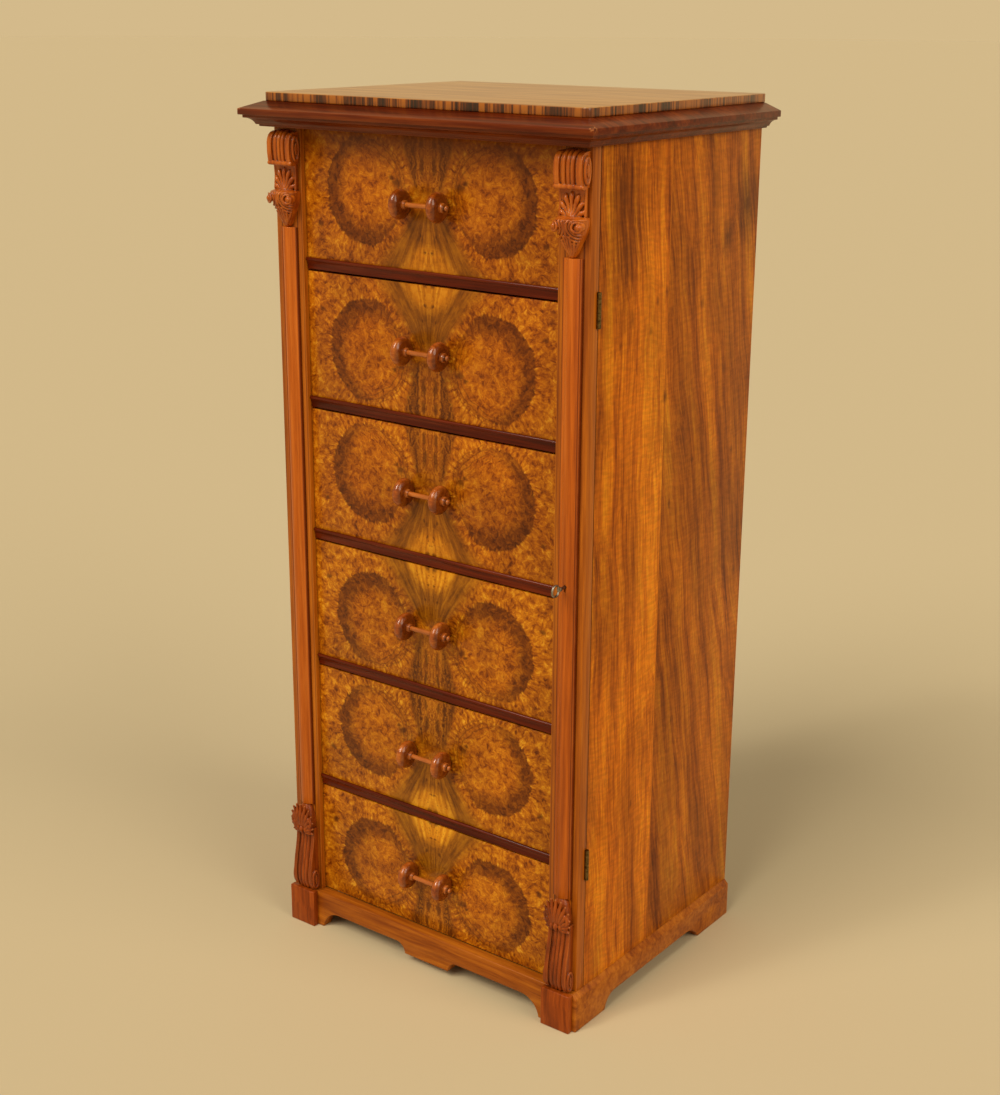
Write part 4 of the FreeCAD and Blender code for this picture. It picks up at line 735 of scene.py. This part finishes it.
def rib(work, points, radii, squash=1.0, steps=7, sides=12):
    # a tapering rounded rib along smooth bends through the points; squash flattens it front to back
    path = [Vector(point) for point in points]
    ends = [path[0] * 2 - path[1], *path, path[-1] * 2 - path[-2]]
    widths = [radii[0], *radii, radii[-1]]
    line = []
    for k in range(1, len(ends) - 2):
        for step in range(steps + (k == len(ends) - 3)):
            t = step / steps
            a, b, c, d = ends[k - 1:k + 3]
            point = 2 * b + (c - a) * t + (2 * a - 5 * b + 4 * c - d) * t**2
            point = 0.5 * (point + (3 * b - a - 3 * c + d) * t**3)
            line.append((point, widths[k] * (1 - t) + widths[k + 1] * t))
    line = roundedEnd(line[0], line[1]) + line + roundedEnd(line[-1], line[-2])[::-1]
    rings = []
    for k, (point, radius) in enumerate(line):
        ahead = line[min(k + 1, len(line) - 1)][0] - line[max(k - 1, 0)][0]
        side = ahead.cross(Vector((0, 1, 0)))
        side = side.normalized() if side.length > 1e-6 else Vector((1, 0, 0))
        over = side.cross(ahead).normalized()
        turns = [2 * pi * s / sides for s in range(sides)]
        corners = [point + side * radius * cos(t) + over * radius * squash * sin(t) for t in turns]
        rings.append([work.verts.new(corner) for corner in corners])
    closeRings(work, rings)


def closeRings(work, rings):
    # skin between neighbouring rings and a cap on each end
    for one, two in zip(rings, rings[1:]):
        for k in range(len(one)):
            n = (k + 1) % len(one)
            work.faces.new((one[k], one[n], two[n], two[k]))
    work.faces.new(rings[0])
    work.faces.new(list(reversed(rings[-1])))


def slabAcross(work, outline, *ends):
    # an outline in (out, height), running across between two places
    one, two = ([work.verts.new((across, out, up)) for out, up in outline] for across in sorted(ends))
    work.faces.new(one)
    work.faces.new(list(reversed(two)))
    for k in range(len(one)):
        n = (k + 1) % len(one)
        work.faces.new((one[k], two[k], two[n], one[n]))


def crowned(work, sections, power=2.6, steps=16):
    # a body of level sections: (height, half width, how far out), each crowned towards the middle
    rings = []
    for up, half, out in sections:
        ring = []
        for t in (pi * k / steps for k in range(steps + 1)):
            across = -half * copysign(abs(cos(t)) ** (2 / power), cos(t))
            ring.append(work.verts.new((across, out * sin(t) ** (2 / power), up)))
        rings.append(ring)
    closeRings(work, rings)


def arc(radius, end, middle, squeeze, steps=20):
    turns = [radians(end * k / steps) for k in range(steps + 1)]
    return [(middle[0] + radius * squeeze * cos(t), middle[1] + radius * sin(t)) for t in turns]


def carved(node, side, build, sizes, material):
    low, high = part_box(node)
    middle = round(abs(low.x + high.x) / 2 / mm, 3)
    face = round(high.y / mm, 3)  # the carving's back lies on the stile
    work = bmesh.new()
    build(work, sizes)
    for vertex in work.verts:
        across, out, up = vertex.co
        vertex.co = Vector((side * (middle + across), face - max(out, -carving["sunk"]), up)) * mm
    bmesh.ops.recalc_face_normals(work, faces=work.faces)
    piece = newPiece(node + "_carved", work)
    piece.modifiers.new("union", "REMESH").mode = "VOXEL"
    piece.modifiers["union"].voxel_size = carving["voxel"] * mm
    soft = piece.modifiers.new("scrape", "SMOOTH")
    soft.factor, soft.iterations = carving["scrape"], carving["passes"]
    shaped = bpy.data.meshes.new_from_object(piece.evaluated_get(bpy.context.evaluated_depsgraph_get()))
    piece.modifiers.clear()
    piece.data = shaped
    back = face * mm - carving["seat"] * mm
    for vertex in shaped.vertices:
        vertex.co.y = min(vertex.co.y, back)
    shaped.polygons.foreach_set("use_smooth", [True] * len(shaped.polygons))
    finishPiece(piece, node, material)


def onCrown(sections, across, up, above=0.0, power=2.6):
    # a point on a crowned body, or a little above it
    for (lowUp, lowHalf, lowOut), (highUp, highHalf, highOut) in zip(sections[1:], sections):
        if lowUp <= up <= highUp:
            break
    share = min(max((up - lowUp) / (highUp - lowUp), 0), 1)
    half, out = lowHalf + (highHalf - lowHalf) * share, lowOut + (highOut - lowOut) * share
    return across, out * max(1 - abs(across / half) ** power, 0) ** (1 / power) + above, up


# in mm past the roll's half width: the disc, its rim and its boss; the boss's height and width are shares
disc = {
    "sunk": 2, "out": 1.4, "rim": 1.7, "rimOut": 1.8, "rimIn": (1.2, 1.8),
    "bossOut": 3.6, "boss": (0.46, 0.3),
}


def sideDisc(work, side, half, middle, radii):
    # the scroll's end: a flat oval with a raised rim and a long boss
    wide, high = radii
    root = side * (half - disc["sunk"])
    outline = arc(high, 345, middle, wide / high)
    slabAcross(work, outline, root, side * (half + disc["out"]))
    rim, wide, steps = [], wide - disc["rimIn"][0], 16
    for turn in (2 * pi * k / steps for k in range(steps + 1)):
        up = middle[1] + (high - disc["rimIn"][1]) * sin(turn)
        rim.append((side * (half + disc["rimOut"]), middle[0] + wide * cos(turn), up))
    rib(work, rim, [disc["rim"]] * len(rim), steps=3)
    boss = arc(high * disc["boss"][0], 340, middle, disc["boss"][1])
    slabAcross(work, boss, root, side * (half + disc["bossOut"]))


def reededRoll(work, sizes):
    # a reeded front between two plain bands, with the scroll's disc on each side
    half, inset, face, close = sizes["half"], sizes["inset"], sizes["face"], sizes["close"]
    slabAcross(work, [(out - sizes["cut"], up) for out, up in face] + close, -half + inset, half - inset)
    for side in (-1, 1):
        slabAcross(work, face + close, side * (half - sizes["band"]), side * half)
        sideDisc(work, side, half, *sizes["disc"])
        if "rail" in sizes:
            rib(work, [(side * across, out, up) for across, out, up in sizes["rail"]], [1.8, 1.5, 1.8])
    for count in (-1, 0, 1):
        path = [(count * sizes["reedSpacing"], out - sizes["reedSunk"], up) for out, up in sizes["reedRun"]]
        rib(work, path, [sizes["reed"]] * len(path), steps=sizes["reedSteps"])


rollFront = [(0, 1170.5), (6, 1170.3), (11, 1169), (15, 1166), (17.6, 1161.5), (18.8, 1156), (19, 1150),
             (18.8, 1143), (18, 1136), (17, 1131), (16.2, 1127)]  # from the top down: out, height
corbel = {
    "face": rollFront, "close": [(11, 1126), (0, 1129)], "half": 20, "inset": 1, "cut": 3.6, "band": 7.4,
    "reed": 2.7, "reedSpacing": 6.3, "reedSunk": 2.6, "reedRun": rollFront[1:-1], "reedSteps": 2,
    "disc": ((8.2, 1148.5), (6.4, 17)),  # its middle, half width and half height
    "rail": [(18.4, 6, 1130), (18.2, 5.4, 1112), (18.4, 6.4, 1096)],  # the shell's frame on each side
    # the lip under the roll, and the neck behind the shell: half width, outline
    "lip": [(-19, 15.4, 1129.4), (0, 15.4, 1129.4), (19, 15.4, 1129.4)], "neckHalf": 17.6,
    "neck": [(0, 1134), (0, 1086), (5.4, 1086), (5.4, 1112), (6.4, 1122), (9, 1134)],
    # the shell's lobes: lean in degrees, length; and each lobe's run: share of the length, out
    "shellRoot": 1090, "lobes": [(0, 33), (21, 32), (42, 28.5), (63, 24), (84, 19)],
    "lobe": [(0.1, 12), (0.45, 7.6), (0.8, 8.2), (0.95, 7.4)],
    # the leaf's level sections: height, half width, how far out
    "leaf": [(1095, 16, 11), (1093.5, 20.5, 20), (1090, 21.6, 23.5), (1084, 21.3, 22.8), (1076, 19.4, 19.8),
             (1068, 15.6, 15.6), (1060, 11.4, 11.6), (1052, 7.6, 8.4), (1046.5, 4, 5.5), (1045, 2, 3)],
    # the leaf's eyes: across and height, the ridges round them and the curl's radii with their turns
    "eye": (16.6, 1083.5), "ridges": [10, 14.2, 18.4, 22.6],
    "curl": [(6.4, 1.2), (6.4, 2.2), (6.2, 3.2), (5.8, 4.2), (5.2, 5.2), (4.2, 6.4), (3.2, 7.6), (1.6, 8.6)],
    # flutes down to the tip: across and height at their ends
    "flutes": [((0, 1091), (0, 1046)), ((4.4, 1072), (1.9, 1047)), ((8.6, 1067), (3.8, 1050)),
               ((12.6, 1066), (6.2, 1054))],
}


def fingers(work, leans, run, root, spread, droop, radii, squash=1.0):
    # a palmette: lobes that lean out to both sides of an upright one
    for turn, length in leans:
        for side in ((-1, 1) if turn else (1,)):
            a = radians(turn * side)
            points = [(length * share * sin(a) * spread, out - abs(turn) * droop,
                       root + length * share * cos(a)) for share, out in run]
            rib(work, points, radii, squash)


def leafEye(work, sizes, side):
    # ridges bent round an eye, its curl and its boss
    leaf, (eyeAcross, eyeUp) = sizes["leaf"], sizes["eye"]
    for radius in sizes["ridges"]:
        line = []
        for degrees in range(110, 296, 9):
            across = eyeAcross + radius * cos(radians(degrees))
            up = eyeUp + radius * sin(radians(degrees))
            if up < 1092 and 1.4 < across < 20 and onCrown(leaf, across, up)[1] > 6:
                line.append(onCrown(leaf, side * across, up, 0.3))
        rib(work, line, [1.0] + [1.5] * (len(line) - 2) + [0.9], steps=3)
    curl = [(side * (eyeAcross + r * cos(a)), 20.6 - 0.5 * r * cos(a), eyeUp + r * sin(a))
            for r, a in sizes["curl"]]
    rib(work, curl, [1.1, 1.5, 1.6, 1.6, 1.6, 1.6, 1.6, 1.7])
    rib(work, [(side * 16.4, 12, 1084), (side * 16.8, 19.4, 1083.4)], [6, 4.6])


def corbelForms(work, sizes):
    reededRoll(work, sizes)
    rib(work, sizes["lip"], [3, 3, 3])
    slabAcross(work, sizes["neck"], -sizes["neckHalf"], sizes["neckHalf"])
    fingers(work, sizes["lobes"], sizes["lobe"], sizes["shellRoot"], 0.8, 0, [1.2, 2.1, 3.0, 2.4], 0.95)
    leaf = sizes["leaf"]
    crowned(work, leaf)
    brow = (-20.6, -17, -11, -5, 0, 5, 11, 17, 20.6)
    rib(work, [onCrown(leaf, across, 1091.5, 0.2) for across in brow], [1.3] * len(brow), steps=4)
    for side in (-1, 1):
        leafEye(work, sizes, side)
        for start, end in sizes["flutes"]:
            line = []
            for share in (0, 0.25, 0.5, 0.75, 1):
                across, up = (a + (b - a) * share for a, b in zip(start, end))
                line.append(onCrown(leaf, side * across, up, 0.9))
            rib(work, line, [1.4, 1.7, 1.6, 1.4, 1], steps=4)


footFront = [(8.6, 158), (8.6, 148), (9.4, 136), (11.8, 122), (14.8, 107), (17, 93), (17.9, 81), (17.2, 70),
             (14.4, 61.5), (10, 57.8)]
foot = {
    "face": footFront, "close": [(0, 57.8), (0, 158)], "half": 17.6, "inset": 0.8, "cut": 2.6, "band": 5.8,
    "reed": 3.1, "reedSpacing": 6.1, "reedSunk": 2.8, "reedRun": footFront[:-1], "reedSteps": 4,
    "disc": ((9, 75), (6.8, 15.5)),
    "ankle": [(194, 7, 8), (188, 11, 11), (178, 14, 14), (168, 15.4, 15), (158, 14.6, 13), (151, 10, 9)],
    # the leaves over the ankle: lean, length, each one's run; then the drooping tips below them
    "fingers": [(0, 45), (14, 45), (28, 43), (42, 39), (57, 34), (73, 29), (92, 25)],
    "finger": [(0.06, 14), (0.32, 17.4), (0.62, 18.4), (0.86, 16.6), (0.98, 17.6)], "fingerRoot": 152,
    "tips": (-13.5, -6.8, 0, 6.8, 13.5),
}


def footForms(work, sizes):
    reededRoll(work, sizes)
    crowned(work, sizes["ankle"])
    radii = [1.4, 2.2, 2.7, 2.5, 1.5]
    fingers(work, sizes["fingers"], sizes["finger"], sizes["fingerRoot"], 0.75, 0.05, radii)
    for side in (-1, 1):  # curled lobes at the outer corners
        turns = (-1.2, -0.2, 0.8, 1.8, 2.8, 3.6)
        lobe = [(side * (13.5 + 4.2 * cos(a)), 15, 168 + 7 * sin(a)) for a in turns]
        rib(work, lobe, [2.2, 2.8, 3, 3, 2.6, 1.8])
    for across in sizes["tips"]:
        drop = 17 - abs(across) * 0.25
        tip = [(across * 0.8, drop - 5, 164), (across, drop, 157), (across * 1.04, drop - 1.6, 150.5)]
        rib(work, tip, [2.6, 3.4, 2.2])


for name, side in (("flap", 1), ("left", -1)):
    carved(f"{name}_corbel", side, corbelForms, corbel, materials["carving"])
    carved(f"{name}_foot_carving", side, footForms, foot, materials["foot"])
print("corbels and feet carved")


# Floor, light and camera

studio = {
    "floor": "#C9BA97", "floorRadius": 60, "sky": "#D4BA8B", "skyLight": "#FFF1DC", "skyStrength": 0.28,
    # far lamps like large windows: side (0 in front, 90 on the right), height and spread in degrees,
    # strength, colour
    "lamps": [(-8, 48, 36, 2.15, "#FFF3E0"), (-22, 46, 6, 0.3, "#FFF6E8"), (86, 32, 44, 1.45, "#FFF0DA")],
}


def paleFloor():
    material, node = newMaterial("plainPaleFloor")[:2]
    shader = {"Base Color": studio["floor"], "Roughness": 0.9, "Specular IOR Level": 0.1}
    node("OutputMaterial", {0: node("BsdfPrincipled", shader)})
    work = bmesh.new()
    bmesh.ops.create_circle(work, cap_ends=True, radius=studio["floorRadius"], segments=96)
    floor = newPiece("floor", work)
    floor.data.materials.append(material)


def paleRoom():
    # the sky lights the chest weakly; the camera and reflections see it as the plain backdrop's colour
    world = bpy.data.worlds.new("paleRoom")
    world.use_nodes = True
    world.node_tree.nodes.clear()
    node = partial(addNode, world.node_tree)
    seen = node("LightPath")
    for ray in ("Is Glossy Ray", "Is Transmission Ray"):
        seen = node("Math", {0: seen, 1: node("LightPath", out=ray)}, operation="MAXIMUM")
    light = node("Background", {0: studio["skyLight"], 1: studio["skyStrength"]})
    shown = node("Background", {0: studio["sky"], 1: 1.0})
    node("OutputWorld", {0: node("MixShader", {0: seen, 1: light, 2: shown})})
    scene.world = world


def farLamp(index, side, height, spread, strength, colour):
    light = bpy.data.lights.new(f"window{index}", "SUN")
    light.energy, light.angle = strength, radians(spread)
    light.color = toLinear(colour)[:3]
    lamp = bpy.data.objects.new(f"window{index}", light)
    lamp.rotation_euler = (radians(90 - height), 0, radians(side))
    scene.collection.objects.link(lamp)


# the photograph's camera: lens and sensor in mm, place in metres, turns in degrees
view = {
    "lens": 56.64, "sensor": 36, "place": (1.4011, -1.8702, 1.3400),
    "yaw": 37.077, "pitch": -17.725, "roll": 0.289,
}


def makeCamera():
    data = bpy.data.cameras.new("camera")
    data.lens, data.sensor_width, data.sensor_fit = view["lens"], view["sensor"], "AUTO"
    camera = bpy.data.objects.new("camera", data)
    aim = Matrix.Identity(4)
    for degrees, axis in ((view["yaw"], "Z"), (90 + view["pitch"], "X"), (view["roll"], "Z")):
        aim = aim @ Matrix.Rotation(radians(degrees), 4, axis)
    camera.matrix_world = Matrix.Translation(view["place"]) @ aim
    scene.collection.objects.link(camera)
    scene.camera = camera
    scene.view_settings.view_transform = "Standard"


paleFloor()
paleRoom()
for index, lamp in enumerate(studio["lamps"]):
    farLamp(index, *lamp)
makeCamera()
print("stage, lamps and camera set")
